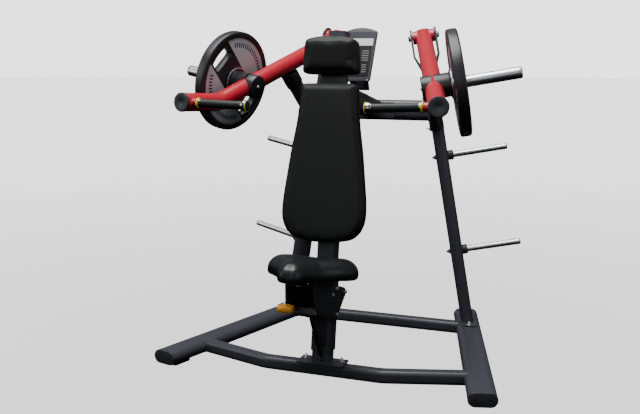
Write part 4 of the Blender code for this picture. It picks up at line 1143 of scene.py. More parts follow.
# %% The hub and the satin horn
HUB_R, HUB_IN, HUB_OUT, HUB_ALONG = 0.051, -0.051, 0.074, 0.371
HUB = shift(ARM, 0, HUB_ALONG, arm_line(HUB_ALONG)) @ spun(arm_slope, "X")
hub_axis = axis_x(HUB)
hub = turned("hub", [(0, HUB_OUT), (0.0600, HUB_OUT), (0.0612, HUB_OUT - 0.0012), (0.0612, HUB_OUT - 0.003),
                     (0.0600, HUB_OUT - 0.0045), (HUB_R + 0.001, HUB_OUT - 0.0055), (HUB_R, HUB_OUT - 0.007),
                     (HUB_R, HUB_IN + 0.005), (HUB_R - 0.0015, HUB_IN + 0.0015),
                     (HUB_R - 0.005, HUB_IN), (0, HUB_IN)], hub_axis, hub_plastic, 96)
cut(hub, arm_tube("saddle", 0.0, 0.0, ARM_R + 0.0004))
cut(hub, stamped("slot", [box_outline(0.012, 0.2, 0.001)], 0, 0.1, HUB, hub_plastic))
both_sides(smooth(hub), "@_arm", "frame_paint", ["hub_@"])
hub_screw = [(on(HUB, HUB_IN + 0.0002, 0, 0), -out, back)]
both_sides(planted("hub_screw", SCREW, hub_screw, zinc, 1.5), "@_arm", "zinc")

HORN_R, HORN_END, FLANGE_R, FLANGE_T = 0.025, 0.366, 0.066, 0.005
start = HUB_OUT + 0.0003
horn = [(0, HORN_END - 0.001), (0.016, HORN_END - 0.001), (0.017, HORN_END), (HORN_R - 0.004, HORN_END),
        (HORN_R - 0.0008, HORN_END - 0.0032), (HORN_R, HORN_END - 0.005), (HORN_R, HORN_END - 0.016),
        (HORN_R - 0.0008, HORN_END - 0.0165), (HORN_R - 0.0008, HORN_END - 0.0185),
        (HORN_R, HORN_END - 0.019), (HORN_R, start + FLANGE_T), (FLANGE_R - 0.001, start + FLANGE_T),
        (FLANGE_R, start + FLANGE_T - 0.001), (FLANGE_R, start + 0.001), (FLANGE_R - 0.001, start),
        (0, start)]
both_sides(turned("weight_horn", horn, hub_axis, satin, 72), "@_arm", "chrome", ["weight_horn_@"])
tell()

# %% The plate's rim, web and windows
PLATE_R, PLATE_HALF, PLATE_N, BORE_R, WEB_HALF, RIM_R = 0.225, 0.0235, 0.1035, 0.0256, 0.0185, 0.198
WINDOW_IN, WINDOW_OUT, WINDOW_HALF, BAND_HALF = 0.118, 0.176, 0.058, 0.070
WINDOW_TURN = 115.5                      # degrees round the horn
PLATE = shift(hub_axis, 0, 0, PLATE_N) @ spun(math.radians(90 + WINDOW_TURN), "Z")

spread = math.degrees(math.asin(WINDOW_HALF / WINDOW_OUT))
window = [(WINDOW_IN, -WINDOW_HALF)] + arc(0, 0, WINDOW_OUT, -spread, spread, 24) + [(WINDOW_IN, WINDOW_HALF)]
window = softened(window, 0.010, 5)
web = stamped("weight_plate", [arc(0, 0, RIM_R + 0.006, 0, 355, 143), arc(0, 0, BORE_R, 0, 350, 47),
                               window, [(-x, -y) for x, y in window]], -WEB_HALF, WEB_HALF, PLATE,
              tyre_rubber, 0.0035)
quarter = [(PLATE_R - 0.009 + 0.009 * math.sin(t), PLATE_HALF - 0.009 + 0.009 * math.cos(t))
           for t in [math.radians(90) * i / 6 for i in range(7)]]
face = [(RIM_R, 0.012), (RIM_R + 0.001, PLATE_HALF - 0.003), (RIM_R + 0.004, PLATE_HALF - 0.0004),
        (RIM_R + 0.007, PLATE_HALF)] + quarter
join(web, turned("rim", looped(both_ends(face)), PLATE, tyre_rubber, 144))
both_sides(smooth(web), "@_plate", "rubber", ["weight_plate_@"])
bore = both_ends([(BORE_R, WEB_HALF + 0.001), (0.034, WEB_HALF + 0.001), (0.036, WEB_HALF)])
both_sides(turned("plate_bush", looped(bore), PLATE, zinc, 72), "@_plate", "zinc")
tell()

# %% The plate's metallic faces and their index marks
EDGE_R = RIM_R - 0.002
top = math.degrees(math.asin(BAND_HALF / EDGE_R))
segment = arc(0, 0, EDGE_R, top, 180 - top, 48)
segment = softened([(x, y) for x, y in segment], 0.004, 2)
ticks = []
for turn in range(30, 151, 5):
    for flip in (0, 180):
        a = math.radians(turn + flip)
        ray = Vector((math.cos(a), math.sin(a), 0))
        if abs(ray.y) * 0.148 > BAND_HALF + 0.006:
            ticks.append((ray * 0.166, turn, Vector((-ray.y, ray.x, 0))))
for face_name, sign in (("inner", -1), ("outer", 1)):
    place = shift(PLATE, 0, 0, sign * WEB_HALF)
    plates = stamped(f"plate_face_{face_name}", [segment, [(-x, -y) for x, y in segment]], -0.0008, 0.0008,
                     place, plate_grey, 0.0005)
    both_sides(plates, "@_plate", "chrome")
    turn_3 = PLATE.to_3x3()
    marks = [(place @ (point + Vector((0, 0, sign * 0.0008))), turn_3 @ Vector((0, 0, sign)), turn_3 @ along)
             for point, _, along in ticks]
    both_sides(planted(f"index_marks_{face_name}", MARK, marks, tyre_rubber), "@_plate", "rubber")
tell()

# %% [markdown]
# ## The pads
# Back, head and seat pads are foam on a board with a leatherette cover pulled tight. Each starts a little
# too small as a solid with a side band, a slanted strip and a front panel, and a cloth simulation with air
# pressure inside swells it until the cover is taut. The seams are pressed in afterwards, and a row of
# stitches runs beside one seam of each pad.

# %% Helpers for outlines and lofted solids
def shrunk(outline, amount):
    """The outline moved inwards by an amount."""
    points = [Vector(p) for p in outline]
    area = sum(a.x * b.y - b.x * a.y for a, b in zip(points, points[1:] + points[:1]))
    sign = 1 if area > 0 else -1
    moved = []
    for before, here, after in zip(points[-1:] + points[:-1], points, points[1:] + points[:1]):
        run = after - before
        inward = Vector((-run.y, run.x)).normalized() * sign
        moved.append(tuple(here + inward * amount))
    return moved


def even(outline, pitch):
    """The closed outline, resampled at an even pitch."""
    points = [Vector(p) for p in outline] + [Vector(outline[0])]
    total = sum((b - a).length for a, b in zip(points, points[1:]))
    count = int(total / pitch)
    step, made, left = total / count, [], 0.0
    for a, b in zip(points, points[1:]):
        span = (b - a).length
        while left < span - 1e-9 and len(made) < count:
            made.append(tuple(a.lerp(b, left / span)))
            left += step
        left -= span
    return made


def lofted(name, place, rings, material):
    """A closed solid through rings of equal length, each a list of (x, y, z)."""
    work = bmesh.new()
    rows = [[work.verts.new(place @ Vector(p)) for p in ring] for ring in rings]
    for low_row, high_row in zip(rows, rows[1:]):
        for i in range(len(low_row)):
            j = (i + 1) % len(low_row)
            work.faces.new((low_row[i], low_row[j], high_row[j], high_row[i]))
    work.faces.new(rows[0])
    work.faces.new(rows[-1])
    return piece(name, mesh_from(name, work), material, 180)


def stuffed(pad, voxel, cap, place):
    """Remeshes the pad, swells it by cloth under pressure, at most by 'cap', and keeps its base flat."""
    step = pad.modifiers.new("even", "REMESH")
    step.mode, step.voxel_size = "VOXEL", voxel
    applied(pad)
    start = [v.co.copy() for v in pad.data.vertices]
    cloth = pad.modifiers.new("cloth", "CLOTH")
    cloth.settings.quality = 4
    cloth.settings.mass = 0.3
    cloth.settings.tension_stiffness = cloth.settings.compression_stiffness = 15
    cloth.settings.shear_stiffness, cloth.settings.bending_stiffness = 8, 2.0
    cloth.settings.use_pressure = True
    cloth.settings.uniform_pressure_force = 4.0
    cloth.settings.effector_weights.gravity = 0.0
    cloth.collision_settings.use_collision = False
    cloth.point_cache.frame_start, cloth.point_cache.frame_end = 1, 20
    scene = bpy.context.scene
    for frame_number in range(1, 21):
        scene.frame_set(frame_number)
    swollen = pad.evaluated_get(bpy.context.evaluated_depsgraph_get())
    moved = [v.co.copy() for v in swollen.data.vertices]
    pad.modifiers.clear()
    scene.frame_set(1)
    travel = [new - old for new, old in zip(moved, start)]
    travel = [t.normalized() * cap if t.length > cap else t for t in travel]
    beside = [[] for _ in start]
    for edge in pad.data.edges:
        a, b = edge.vertices
        beside[a].append(b)
        beside[b].append(a)
    for _ in range(6):
        travel = [(t + sum((travel[i] for i in near_by), Vector())) / (1 + len(near_by))
                  for t, near_by in zip(travel, beside)]
    to_pad = place.inverted()
    for vertex, old, step in zip(pad.data.vertices, start, travel):
        local = to_pad @ (old + step)
        local.z = max(local.z, 0.0002)
        vertex.co = place @ local
    step = pad.modifiers.new("fine", "SUBSURF")
    step.levels = step.render_levels = 1
    applied(pad)
    return smooth(pad, 180)


def pressed(pad, place, lines, depth=0.0021, width=0.0030):
    """Presses seams into the pad along lines of points, and returns a tree of the pressed cover."""
    lookup = KDTree(sum(len(line) for line in lines))
    for i, point in enumerate(p for line in lines for p in line):
        lookup.insert(place @ Vector(point), i)
    lookup.balance()
    normals = [v.normal.copy() for v in pad.data.vertices]
    for vertex, normal in zip(pad.data.vertices, normals):
        _, _, distance = lookup.find(vertex.co)
        if distance < width * 3:
            vertex.co -= normal * depth * math.exp(-(distance / width) ** 2)
    pad.data.update()
    return surface_of(pad)


def thread_row(name, cover, place, line, material, lift=0.0002):
    """Stitches planted along a line that is first dropped onto the cover."""
    spots = []
    for here, after in zip(line, line[1:] + line[:1]):
        point, normal, _, distance = cover.find_nearest(place @ Vector(here))
        if point is not None and distance < 0.012:
            along = (place @ Vector(after) - place @ Vector(here)).normalized()
            spots.append((point + normal * lift, normal, along))
    return planted(name, STITCH, spots, material)


# %% Leatherette: a matt one for back and head, a glossier one for the seat
def leatherette(name, deep, pale, rough, grain, depth, shine=0.42):
    made, tree, shader = surface(name, Specular_IOR_Level=shine)
    point = object_point(tree)
    wander = noise(tree, 90.0, 2.0, at=point)
    cells = node(tree, "ShaderNodeTexVoronoi", dict(feature="DISTANCE_TO_EDGE"),
                 {"Vector": point, "Scale": grain})
    creases = cells.math("MULTIPLY", 9.0, clamp=True)
    pores = noise(tree, grain * 2.2, 2.0, at=point)
    drift = noise(tree, 4.0, 3.0, at=point)
    feed(tree, shader, "Base Color", between(tree, drift * 0.6 + creases * 0.25 + pores * 0.15, deep, pale))
    feed(tree, shader, "Roughness", drift * 0.10 + (rough - 0.02) + creases * -0.06 + wander * 0.04)
    bump(tree, shader, creases * 0.7 + pores * 0.3, depth)
    return made


matt_leather = leatherette("matt_leatherette", (0.0050, 0.0053, 0.0060), (0.0090, 0.0095, 0.0105), 0.52,
                           520.0, 0.00020, 0.28)
seat_leather = leatherette("seat_leatherette", (0.0050, 0.0053, 0.0062), (0.0080, 0.0085, 0.0095), 0.34,
                           760.0, 0.00004)
thread_black = moulded("thread_black", (0.012, 0.012, 0.013), (0.022, 0.022, 0.024), 0.60, 1600.0, 0.00005)

# %% Carrier, board and the pads' frame on the column's front
CARRIER_T, BOARD_T, PAD_T = 0.0075, 0.010, 0.066
STRIP, STITCH_PITCH = 0.020, 0.0045      # the slanted strip's width, and from one stitch to the next
BACK_LOW, BACK_WIDE, BACK_TOP, HEAD_LOW, HEAD_TOP = 0.590, 0.742, 1.266, 1.298, 1.456
PAD = shift(front_view(COLUMN), 0, 0, COLUMN_W / 2)
carrier_low, carrier_high = up_column(0.760), up_column(1.440)
carrier = stamped("pad_carrier", [box_outline(0.112, carrier_high - carrier_low, 0.010)], 0.0003, CARRIER_T,
                  shift(PAD, 0, (carrier_low + carrier_high) / 2, 0), frame_coat, 0.0015)
finish(carrier, "frame", "frame_paint", ["pad_carrier"])
low, wide, top = (up_column(z) for z in (BACK_LOW, BACK_WIDE, BACK_TOP))
half = [(0.060, low), (0.135, low + 0.016), (0.172, low + 0.052), (0.190, low + 0.100), (0.192, wide),
        (0.187, wide + 0.058), (0.165, wide + 0.232), (0.144, wide + 0.358), (0.126, top)]
back_outline = even(softened(mirrored(half), 0.024, 6), 0.006)
board_low = CARRIER_T + 0.0003
board = stamped("backrest_board", [shrunk(back_outline, 0.012)], board_low, board_low + BOARD_T, PAD,
                board_plastic, 0.003)
finish(board, "frame", "board", ["backrest_board"])
board_screws = [(on(PAD, sx * x, y, board_low), PAD.to_3x3() @ Vector((0, 0, -1)), level_x) for sx in (-1, 1)
                for x, y in ((0.095, low + 0.080), (0.115, (low + top) / 2), (0.088, top - 0.060))]
carrier_screws = [(on(PAD, 0.047 * sx, y, 0.0003), PAD.to_3x3() @ Vector((0, 0, -1)), level_x)
                  for sx in (-1, 1) for y in (carrier_low + 0.03, top - 0.05, carrier_high - 0.03)]
finish(planted("board_screws", SCREW, board_screws + carrier_screws, zinc, 1.1), "frame", "zinc")


# %% The backrest pad and its seams
def banded(outline, front, chamfer, slack=0.0025):
    """Rings for a pad: a side band, a slanted strip and a panel. 'front' gives z at a height y."""
    levels = [(slack + 0.004, 0.0, 0), (slack, 0.006, 0), (slack, None, -chamfer),
              (slack + chamfer, None, -0.0015), (slack + chamfer * 2.2, None, 0.0)]
    rings = []
    for inset, fixed, below in levels:
        ring = []
        for x, y in shrunk(outline, inset):
            ring.append((x, y, fixed if fixed is not None else front(y) + below - slack))
        rings.append(ring)
    return rings


def seam_lines(outline, front, chamfer):
    """Where the strip meets the front panel, and where it meets the side band."""
    panel = [(x, y, front(y)) for x, y in even(shrunk(outline, chamfer), 0.002)]
    band = [(x, y, front(y) - chamfer) for x, y in even(outline, 0.002)]
    return panel, band


def upholstered(name, outline, front, base, voxel, cap):
    """A stuffed pad on the column's front, with its seams, stitches and body."""
    place = shift(PAD, 0, 0, base)
    pad = lofted(name, place, banded(outline, front, STRIP), matt_leather)
    stuffed(pad, voxel, cap, place)
    panel, band = seam_lines(outline, front, STRIP)
    cover = pressed(pad, place, [panel, band])
    finish(pad, "frame", "leather", [name])
    inner = [(x, y, front(y)) for x, y in even(shrunk(outline, STRIP + STITCH_PITCH), STITCH_PITCH)]
    row = thread_row(f"{name}_stitches", cover, place, inner, thread_black)
    finish(row, "frame", "leather")


back_base = board_low + BOARD_T + 0.0003
upholstered("backrest_pad", back_outline, lambda y: PAD_T, back_base, 0.0054, 0.0040)
tell()

# %% The headrest: a wedge whose face stands upright
low, top = up_column(HEAD_LOW), up_column(HEAD_TOP)
half = [(0.127, low), (0.115, top - 0.012), (0.060, top)]
head_outline = even(softened(mirrored(half), 0.022, 6), 0.005)
head_lean = math.tan(math.atan2(slide.y, slide.z) - math.radians(1.0))


def head_front(y):
    return PAD_T + 0.008 + (y - low) * head_lean


upholstered("headrest_pad", head_outline, head_front, CARRIER_T + 0.0003, 0.0042, 0.0036)
tell()

# %% The seat: a saddle with a narrow nose, hollowed behind it
SEAT_TILT, SEAT_Z = math.radians(7.0), 0.483
SEAT = Matrix.Translation((0, -MID_Y, SEAT_Z)) @ spun(-SEAT_TILT, "X")
half = [(0.028, -0.294), (0.052, -0.270), (0.098, -0.160), (0.175, -0.066), (0.205, -0.020), (0.195, 0.040),
        (0.145, 0.086), (0.060, 0.092)]
seat_outline = even(softened(mirrored(half), 0.036, 6), 0.006)
rings = []
for inset, z in ((0.011, 0.0), (0.004, 0.003), (0.001, 0.010), (0.0005, 0.024), (0.003, 0.038),
                 (0.010, 0.052), (0.022, 0.064), (0.037, 0.073), (0.054, 0.078)):
    rings.append([(x, y, z) for x, y in shrunk(seat_outline, inset)])
seat = lofted("seat_pad", SEAT, rings, seat_leather)
stuffed(seat, 0.0050, 0.0050, SEAT)


def dish(x, y):
    """How far the top is hollowed: a trough behind the nose, and a slight fall at its tip."""
    trough = 0.013 * math.exp(-(x / 0.060) ** 2 - ((y + 0.040) / 0.080) ** 2)
    nose = 0.003 * math.exp(-((y + 0.275) / 0.050) ** 2) * math.exp(-(x / 0.025) ** 2)
    return trough + nose


to_seat = SEAT.inverted()
for vertex in seat.data.vertices:
    local = to_seat @ vertex.co
    share = min(1.0, max(0.0, (local.z - 0.030) / 0.045))
    local.z -= dish(local.x, local.y) * share * share * (3 - 2 * share)
    vertex.co = SEAT @ local
seat.data.update()
welt = [(x, y, 0.016) for x, y in even(shrunk(seat_outline, 0.0), 0.002)]
seat_cover = pressed(seat, SEAT, [welt], 0.0014, 0.0026)
finish(seat, "seat", "leather", ["seat_pad"])
seat_row = [(x, y, 0.0215) for x, y in even(seat_outline, STITCH_PITCH)]
finish(thread_row("seat_stitches", seat_cover, SEAT, seat_row, thread_black), "seat", "leather")
tell()

# %% [markdown]
# ## Placard
# A moulded housing behind the headrest holds a card. It has an arched top, a raised border and a recessed
# panel. The card's print is only bars and boxes, drawn by the material from the panel's own coordinates.

# %% The housing, its post and the printed panel
PLACARD_LEAN, PLACARD_Y, PLACARD_LOW, PLACARD_TOP = math.radians(16), 0.578, 1.272, 1.500
PLACARD_HALF_LOW, PLACARD_HALF, RISE = 0.062, 0.078, 0.018
BOARD = front_view(Matrix.Translation((0, PLACARD_Y - MID_Y, PLACARD_LOW)) @ spun(-PLACARD_LEAN, "X"))
height = (PLACARD_TOP - PLACARD_LOW) / math.cos(PLACARD_LEAN)


def panel_outline(inset):
    """The recess: narrower towards the foot, with a straight top edge under the arch."""
    return softened(mirrored([(0.051 - inset, 0.020 + inset), (0.0635 - inset, 0.206 - inset)]), 0.006, 3)


def housing_outline(inset):
    half_top, half_low = PLACARD_HALF - inset, PLACARD_HALF_LOW - inset
    radius = (half_top ** 2 + RISE ** 2) / (2 * RISE)
    spread = math.degrees(math.asin(half_top / radius))
    crown = arc(0, height - inset + RISE - radius, radius, 90 - spread, 90 + spread, 16)
    corners = crown + [(-half_low, 0.008 + inset), (-half_low + 0.008, inset), (half_low - 0.008, inset),
                       (half_low, 0.008 + inset)]
    return softened(corners, 0.006, 3)


housing = stamped("placard_board", [housing_outline(0)], 0, 0.0138, BOARD, placard_plastic, 0.003)
cut(housing, stamped("recess", [panel_outline(0)], 0.0112, 0.02, BOARD, placard_plastic))
finish(smooth(housing), "frame", "plastic", ["placard_board"])


def printed(name):
    """Bars and boxes on a black card. u and v are millimetres from the card's lower middle."""
    made, tree, shader = surface(name, Coat_Weight=0.3, Coat_Roughness=0.12)
    spot = node(tree, "ShaderNodeAttribute", dict(attribute_name="card"), output=1)
    parts = node(tree, "ShaderNodeSeparateXYZ", None, {"Vector": spot})
    u, v = parts, Wire(tree, parts.socket.node.outputs[1])

    def box(left, bottom, right, high):
        return (u > left) * (u < right) * (v > bottom) * (v < high)

    def rows(left, right, bottom, high, pitch, filled):
        line = v.math("MODULO", pitch)
        return box(left, bottom, right, high) * (line < pitch * filled)

    header = box(-70.0, 170.0, 70.0, 206.0)
    text = rows(12.0, 44.0, 96.0, 150.0, 11.0, 0.28) + rows(-44.0, -8.0, 96.0, 150.0, 11.0, 0.28)
    text = text + rows(16.0, 38.0, 36.0, 82.0, 11.0, 0.28) + rows(-40.0, -12.0, 36.0, 82.0, 11.0, 0.28)
    grain = noise(tree, 300.0, 2.0)
    base = between(tree, grain, (0.010, 0.010, 0.011), (0.016, 0.016, 0.018))
    base = between(tree, text, base, (0.30, 0.31, 0.32))
    feed(tree, shader, "Base Color", between(tree, header, base, (0.74, 0.75, 0.76)))
    feed(tree, shader, "Roughness", grain * 0.12 + 0.26)
    bump(tree, shader, grain, 0.00004)
    return made


card = stamped("placard_card", [panel_outline(0.0005)], 0.0108, 0.0118, BOARD, printed("printed_card"),
               0.0003)
to_board = BOARD.inverted()
layer = card.data.attributes.new("card", "FLOAT_VECTOR", "POINT")
layer.data.foreach_set("vector", [c * 1000 for v in card.data.vertices for c in to_board @ v.co])
finish(card, "frame", "plastic")
card_screws = [(on(BOARD, x, y, 0.0137), BOARD.to_3x3() @ Vector((0, 0, 1)), level_x)
               for x, y in ((-0.050, 0.0055), (0.050, 0.0055))]
finish(planted("placard_screws", SCREW, card_screws, zinc, 0.6), "frame", "zinc")

spine_slope = (spine_path[1] - spine_path[0]).normalized()
post_start = Vector((0, 0.652 - MID_Y, 1.16))
post_end = Vector((0, 0.594 - MID_Y, PLACARD_LOW + 0.02))
post_run = facing(post_start, post_end)
post = stamped("placard_post", [oval(0.090, 0.040)], 0, 0.5, post_run, frame_coat)
above_spine = Vector((0, -spine_slope.z, spine_slope.y))
node_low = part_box("placard_post")[0]
cut(post, side_of(Vector((0, post_start.y, node_low.z + 0.012)), -above_spine))
board_out = BOARD.to_3x3() @ Vector((0, 0, 1))
cut(post, side_of(BOARD.translation - board_out * 0.0005, board_out),
    side_of(Vector((0, 0, PLACARD_LOW + 0.012)), world_up))
finish(rounded(post, 0.0012, 2), "frame", "frame_paint", ["placard_post"])
post_weld = ring_on(spine, facing(post_end, post_start), oval(0.090, 0.040))
finish(bead("post_weld", post_weld), "frame", "frame_paint")
tell()

# %% [markdown]
# ## The seat's carriage
# Two laser-cut side plates hold the seat and run on rollers up and down the sleeve. Bolts with washers go
# through both plates, and a lever with an orange knob lifts a pawl out of the rack. A gas spring beside the
# column carries the weight while the seat is moved.

# %% Side plates, deck and cross tab
SIDE_X, SIDE_T = 0.0615, 0.006
FLOOR = Matrix.Translation((0, -MID_Y, 0))


def seat_low(y):
    return SEAT_Z - y * math.tan(SEAT_TILT) - 0.0006


side_outline = softened([(-0.146, seat_low(-0.146), 0.006), (-0.144, 0.398), (-0.096, 0.350),
                         (0.110, 0.268, 0.010), (0.146, 0.292, 0.008), (0.247, 0.361), (0.230, 0.386),
                         (0.160, 0.410), (0.088, 0.425), (0.084, seat_low(0.084), 0.006)], 0.018, 6)
for side, sign in (("right", 1), ("left", -1)):
    middle = sign * SIDE_X
    plate = stamped(f"carriage_side_{side}", [side_outline], middle - SIDE_T / 2, middle + SIDE_T / 2,
                    side_view(FLOOR), plate_coat, 0.0010)
    finish(plate, "seat", "frame_paint", ["seat_carriage"] if side == "right" else ())
deck = stamped("carriage_deck", [box_outline(2 * SIDE_X - SIDE_T, 0.226, 0.004)], -0.0063, -0.0003,
               shift(SEAT, 0, -0.030, 0), frame_coat, 0.0008)
finish(deck, "seat", "frame_paint")
tab = stamped("carriage_tab", [box_outline(2 * SIDE_X - SIDE_T, 0.026, 0.003)], 0, 0.005,
              shift(FLOOR, 0, -0.098, 0.362) @ spun(math.radians(66), "X"), frame_coat, 0.0008)
finish(tab, "seat", "frame_paint")
for side, sign in (("right", 1), ("left", -1)):
    runs = [Vector((sign * (SIDE_X - SIDE_T / 2), -0.128 - MID_Y + t * 0.200, 0))
            for t in [i / 60 for i in range(61)]]
    line = [(Vector((p.x, p.y, seat_low(p.y + MID_Y) - 0.0062)), Vector((-sign, 0, -1)).normalized())
            for p in runs]
    finish(bead(f"deck_weld_{side}", line, 0.0024, 0.0030, closed=False), "seat", "frame_paint")
tell()

# %% Rollers, the bolts through the plates, and the lever
face_front, face_back = -SLEEVE_W / 2 - 0.0065, SLEEVE_W / 2 + 0.0005
for name, offset, z, radius in (("upper", face_front - 0.013, 0.416, 0.013),
                                ("lower", face_front - 0.013, 0.294, 0.013),
                                ("rear", face_back + 0.015, 0.366, 0.015)):
    place = axis_x(Matrix.Translation(on(COLUMN, 0, offset, up_column(z))))
    inner = SIDE_X - SIDE_T / 2 - 0.0004
    profile = [(0, inner), (0.006, inner), (0.006, inner - 0.006), (radius - 0.002, inner - 0.006),
               (radius, inner - 0.008), (radius, 0.012), (radius - 0.0015, 0.010)]
    finish(turned(f"roller_{name}", both_ends(profile), place, rack_plastic, 40), "seat", "plastic")
bolt_spots = [(0.122, 0.407), (0.071, 0.391), (0.234, 0.366), (0.124, 0.293)]
bolts = [(on(FLOOR, sign * (SIDE_X + SIDE_T / 2), y, z), sign * level_x, Vector((0, 1, 0)))
         for sign in (1, -1) for y, z in bolt_spots]
finish(planted("carriage_bolts", BOLT, bolts, zinc, 0.72), "seat", "zinc")
stud = turned("gas_stud", [(0, -0.0335), (0.0055, -0.0335), (0.006, -0.034), (0.006, -SIDE_X), (0, -SIDE_X)],
              axis_x(shift(FLOOR, 0, -0.049, 0.450)), zinc, 32)
finish(stud, "seat", "zinc")

LEVER_Y, LEVER_Z = -0.012, 0.428
reach = SIDE_X - SIDE_T / 2 - 0.0015
axle_place = axis_x(shift(FLOOR, 0, LEVER_Y, LEVER_Z))
axle_half = [(0, reach), (0.006, reach), (0.007, reach - 0.001), (0.007, 0.014), (0.010, 0.0135)]
axle = turned("seat_lever", both_ends(axle_half), axle_place, zinc, 40)
lever_path = [(-0.044, LEVER_Y, LEVER_Z), (-0.046, -0.070, 0.420), (-0.052, -0.162, 0.388)]
bar = tube("lever_bar", [on(FLOOR, *p) for p in lever_path], 0.008, 0.008, zinc, 0.00399, 0.03)
pawl = stamped("pawl", [softened([(-0.010, -0.010), (0.010, -0.010), (0.010, 0.046), (0.006, 0.055),
                                  (-0.006, 0.055), (-0.010, 0.046)], 0.002, 3)], LEVER_Z - 0.008, LEVER_Z,
               shift(FLOOR, 0, LEVER_Y + 0.002, 0), zinc, 0.0008)
finish(smooth(join(axle, bar, pawl)), "lever", "zinc", ["seat_lever"], steel_black)
tell()

# %% The orange knob: a soft block with a wavy top
work = bmesh.new()
bmesh.ops.create_cube(work, size=1.0)
bmesh.ops.scale(work, vec=(0.068, 0.040, 0.027), verts=work.verts)
bmesh.ops.bevel(work, geom=work.edges[:], offset=0.009, segments=2, profile=0.5, affect="EDGES")
bmesh.ops.subdivide_edges(work, edges=work.edges[:], cuts=3, use_grid_fill=True)
for vertex in work.verts:
    x, y, z = vertex.co
    wave = 0.0016 * math.cos(math.tau * x / 0.0165) if z > 0 else 0.0
    vertex.co.z += wave * min(1.0, max(0.0, z / 0.008)) + 0.15 * y
    vertex.co.y *= 1.0 - 0.10 * abs(x) / 0.034
    vertex.co += Vector((-0.052, -0.170 - MID_Y, 0.386))
knob = piece("lever_knob", mesh_from("lever_knob", work), knob_orange, 180)
step = knob.modifiers.new("soft", "SUBSURF")
step.levels = step.render_levels = 1
applied(knob)
finish(smooth(knob, 60), "lever", "orange", ["lever_knob"])
tell()

# %% The gas spring
GAS_LOW, GAS_HIGH = Vector((0.018, 0.062, 0.108)), Vector((-0.020, -0.049, 0.450))
GAS = FLOOR @ facing(GAS_LOW, GAS_HIGH)
gas_length, body = (GAS_HIGH - GAS_LOW).length, 0.215
cylinder = turned("gas_cylinder", [(0, 0.004), (0.006, 0.005), (0.006, 0.019), (0.0095, 0.020),
                                   (0.011, 0.023), (0.011, body - 0.010), (0.0104, body - 0.009),
                                   (0.0104, body - 0.007), (0.011, body - 0.006), (0.011, body - 0.003),
                                   (0.0095, body), (0, body)], GAS, gas_black, 40)
low_eye = axis_x(FLOOR @ Matrix.Translation((0, GAS_LOW.y, GAS_LOW.z)))
eye_ring = [(0.0043, GAS_LOW.x - 0.006), (0.0082, GAS_LOW.x - 0.006), (0.009, GAS_LOW.x - 0.005),
            (0.009, GAS_LOW.x + 0.005), (0.0082, GAS_LOW.x + 0.006), (0.0043, GAS_LOW.x + 0.006)]
join(cylinder, turned("eye", looped(eye_ring), low_eye, gas_black, 40))
finish(smooth(cylinder), "gas_cylinder", "plastic", ["gas_cylinder"])
stem = turned("gas_rod", [(0, body - 0.100), (0.004, body - 0.100), (0.004, gas_length - 0.016),
                          (0.0055, gas_length - 0.015), (0.0055, gas_length - 0.006),
                          (0, gas_length - 0.004)], GAS, rod_steel, 32)
high_eye = axis_x(FLOOR @ Matrix.Translation((0, GAS_HIGH.y, GAS_HIGH.z)))
eye = [(0, -0.0132), (0.007, -0.0132), (0.008, -0.0142), (0.008, -0.0275), (0.007, -0.0285), (0, -0.0285)]
join(stem, turned("eye", eye, high_eye, rod_steel, 40))
finish(smooth(stem), "gas_rod", "chrome", ["gas_rod"])
lug = stamped("gas_lug", [box_outline(0.006, 0.048, 0.002)], -0.011, 0.011,
              FLOOR @ Matrix.Translation((GAS_LOW.x + 0.0095, GAS_LOW.y + 0.012, GAS_LOW.z)), frame_coat,
              0.0008)
finish(lug, "frame", "frame_paint")
pin = turned("gas_pin", [(0, GAS_LOW.x + 0.006), (0.004, GAS_LOW.x + 0.006), (0.004, GAS_LOW.x - 0.0065),
                         (0.0066, GAS_LOW.x - 0.0065), (0.007, GAS_LOW.x - 0.007),
                         (0.0066, GAS_LOW.x - 0.0078), (0, GAS_LOW.x - 0.0080)], low_eye, zinc, 32)
finish(pin, "frame", "zinc")
tell()

# %% [markdown]
# ## Floor, light and camera
# A wide pale floor runs into the room's own brightness with hardly a horizon. Seen by the camera it glows
# with painted light, dimmer near the machine and brighter towards its rim. One large soft light overhead and
# three weaker ones, left, right and in front, leave soft shadows and long, quiet reflections on the tubes.

# %% The floor: a wide disc with painted light that brightens towards its rim
def floor_ring(radius, count=96):
    return [(radius * math.cos(math.tau * i / count), radius * math.sin(math.tau * i / count), 0.0)
            for i in range(count)]


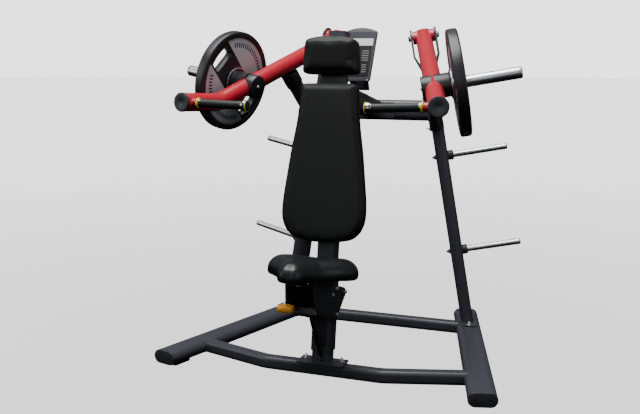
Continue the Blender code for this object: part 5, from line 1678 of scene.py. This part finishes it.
floor = lofted("floor", Matrix.Identity(4), [floor_ring(r) for r in (0.5, 2.0, 6.0, 20.0, 80.0)], None)
floor_paint, tree, shader = surface("floor_paint", Specular_IOR_Level=0.30, Emission_Strength=1.0)
drift = noise(tree, 0.35, 2.0)
seen = node(tree, "ShaderNodeLightPath")
distance = node(tree, "ShaderNodeVectorMath", dict(operation="LENGTH"), [object_point(tree)], output=1)
# Painted light: camera rays see the floor glow, dimmer near the machine and brighter towards its rim
rise = (distance - 1.0).math("MULTIPLY", 0.16, clamp=True)
painted_floor_glow = between(tree, rise, (1.55, 1.55, 1.56), (2.20, 2.20, 2.20))
feed(tree, shader, "Emission Color", between(tree, seen, (0, 0, 0), painted_floor_glow))
feed(tree, shader, "Base Color", between(tree, drift, (0.80, 0.80, 0.805), (0.83, 0.83, 0.835)))
feed(tree, shader, "Roughness", drift * 0.08 + 0.34)
floor.data.materials.append(floor_paint)

# %% Soft lights
def soft_light(name, place, target, size, power):
    data = bpy.data.lights.new(name, "AREA")
    data.shape, data.size, data.size_y, data.energy = "RECTANGLE", size[0], size[1], power
    made = linked(name, data)
    made.location = place
    made.rotation_euler = (Vector(target) - Vector(place)).to_track_quat("-Z", "Y").to_euler()


soft_light("over", (-0.4, -0.7, 4.6), (0, 0.0, 0.4), (3.2, 3.2), 330)
soft_light("left", (-4.2, -2.6, 2.6), (0, 0, 0.8), (2.2, 2.2), 36)
soft_light("right", (4.4, -1.8, 2.4), (0, 0, 0.8), (1.8, 2.2), 24)
soft_light("front", (0.6, -5.6, 2.4), (0, 0, 0.8), (3.2, 1.6), 22)
world = bpy.data.worlds.new("room")
world.use_nodes = True
tree = world.node_tree
seen = node(tree, "ShaderNodeLightPath")
room = tree.nodes["Background"]
room.inputs["Strength"].default_value = 1.0
tree.links.new(between(tree, seen, (0.15, 0.152, 0.156), (2.60, 2.60, 2.60)).socket, room.inputs["Color"])
bpy.context.scene.world = world
print(len(bpy.data.lights), "lights")

# %% The camera
YAW, PITCH, ROLL = math.radians(20.53), math.radians(9.37), math.radians(0.07)
lens = bpy.data.cameras.new("camera")
lens.lens, lens.sensor_width = 49.33, 36.0
camera = linked("camera", lens)
camera.location = (1.273, -3.314 - MID_Y, 1.362)
camera.rotation_euler = (Matrix.Rotation(YAW, 3, "Z") @ Matrix.Rotation(math.radians(90) - PITCH, 3, "X")
                         @ Matrix.Rotation(ROLL, 3, "Z")).to_euler()
bpy.context.scene.camera = camera
print("camera at", [round(c, 3) for c in camera.location], "lens", lens.lens)

# %% The template shapes are removed, and the end
for template in (PUDDLE, BOLT, NUT, SCREW, MARK, STITCH):
    bpy.data.objects.remove(template)
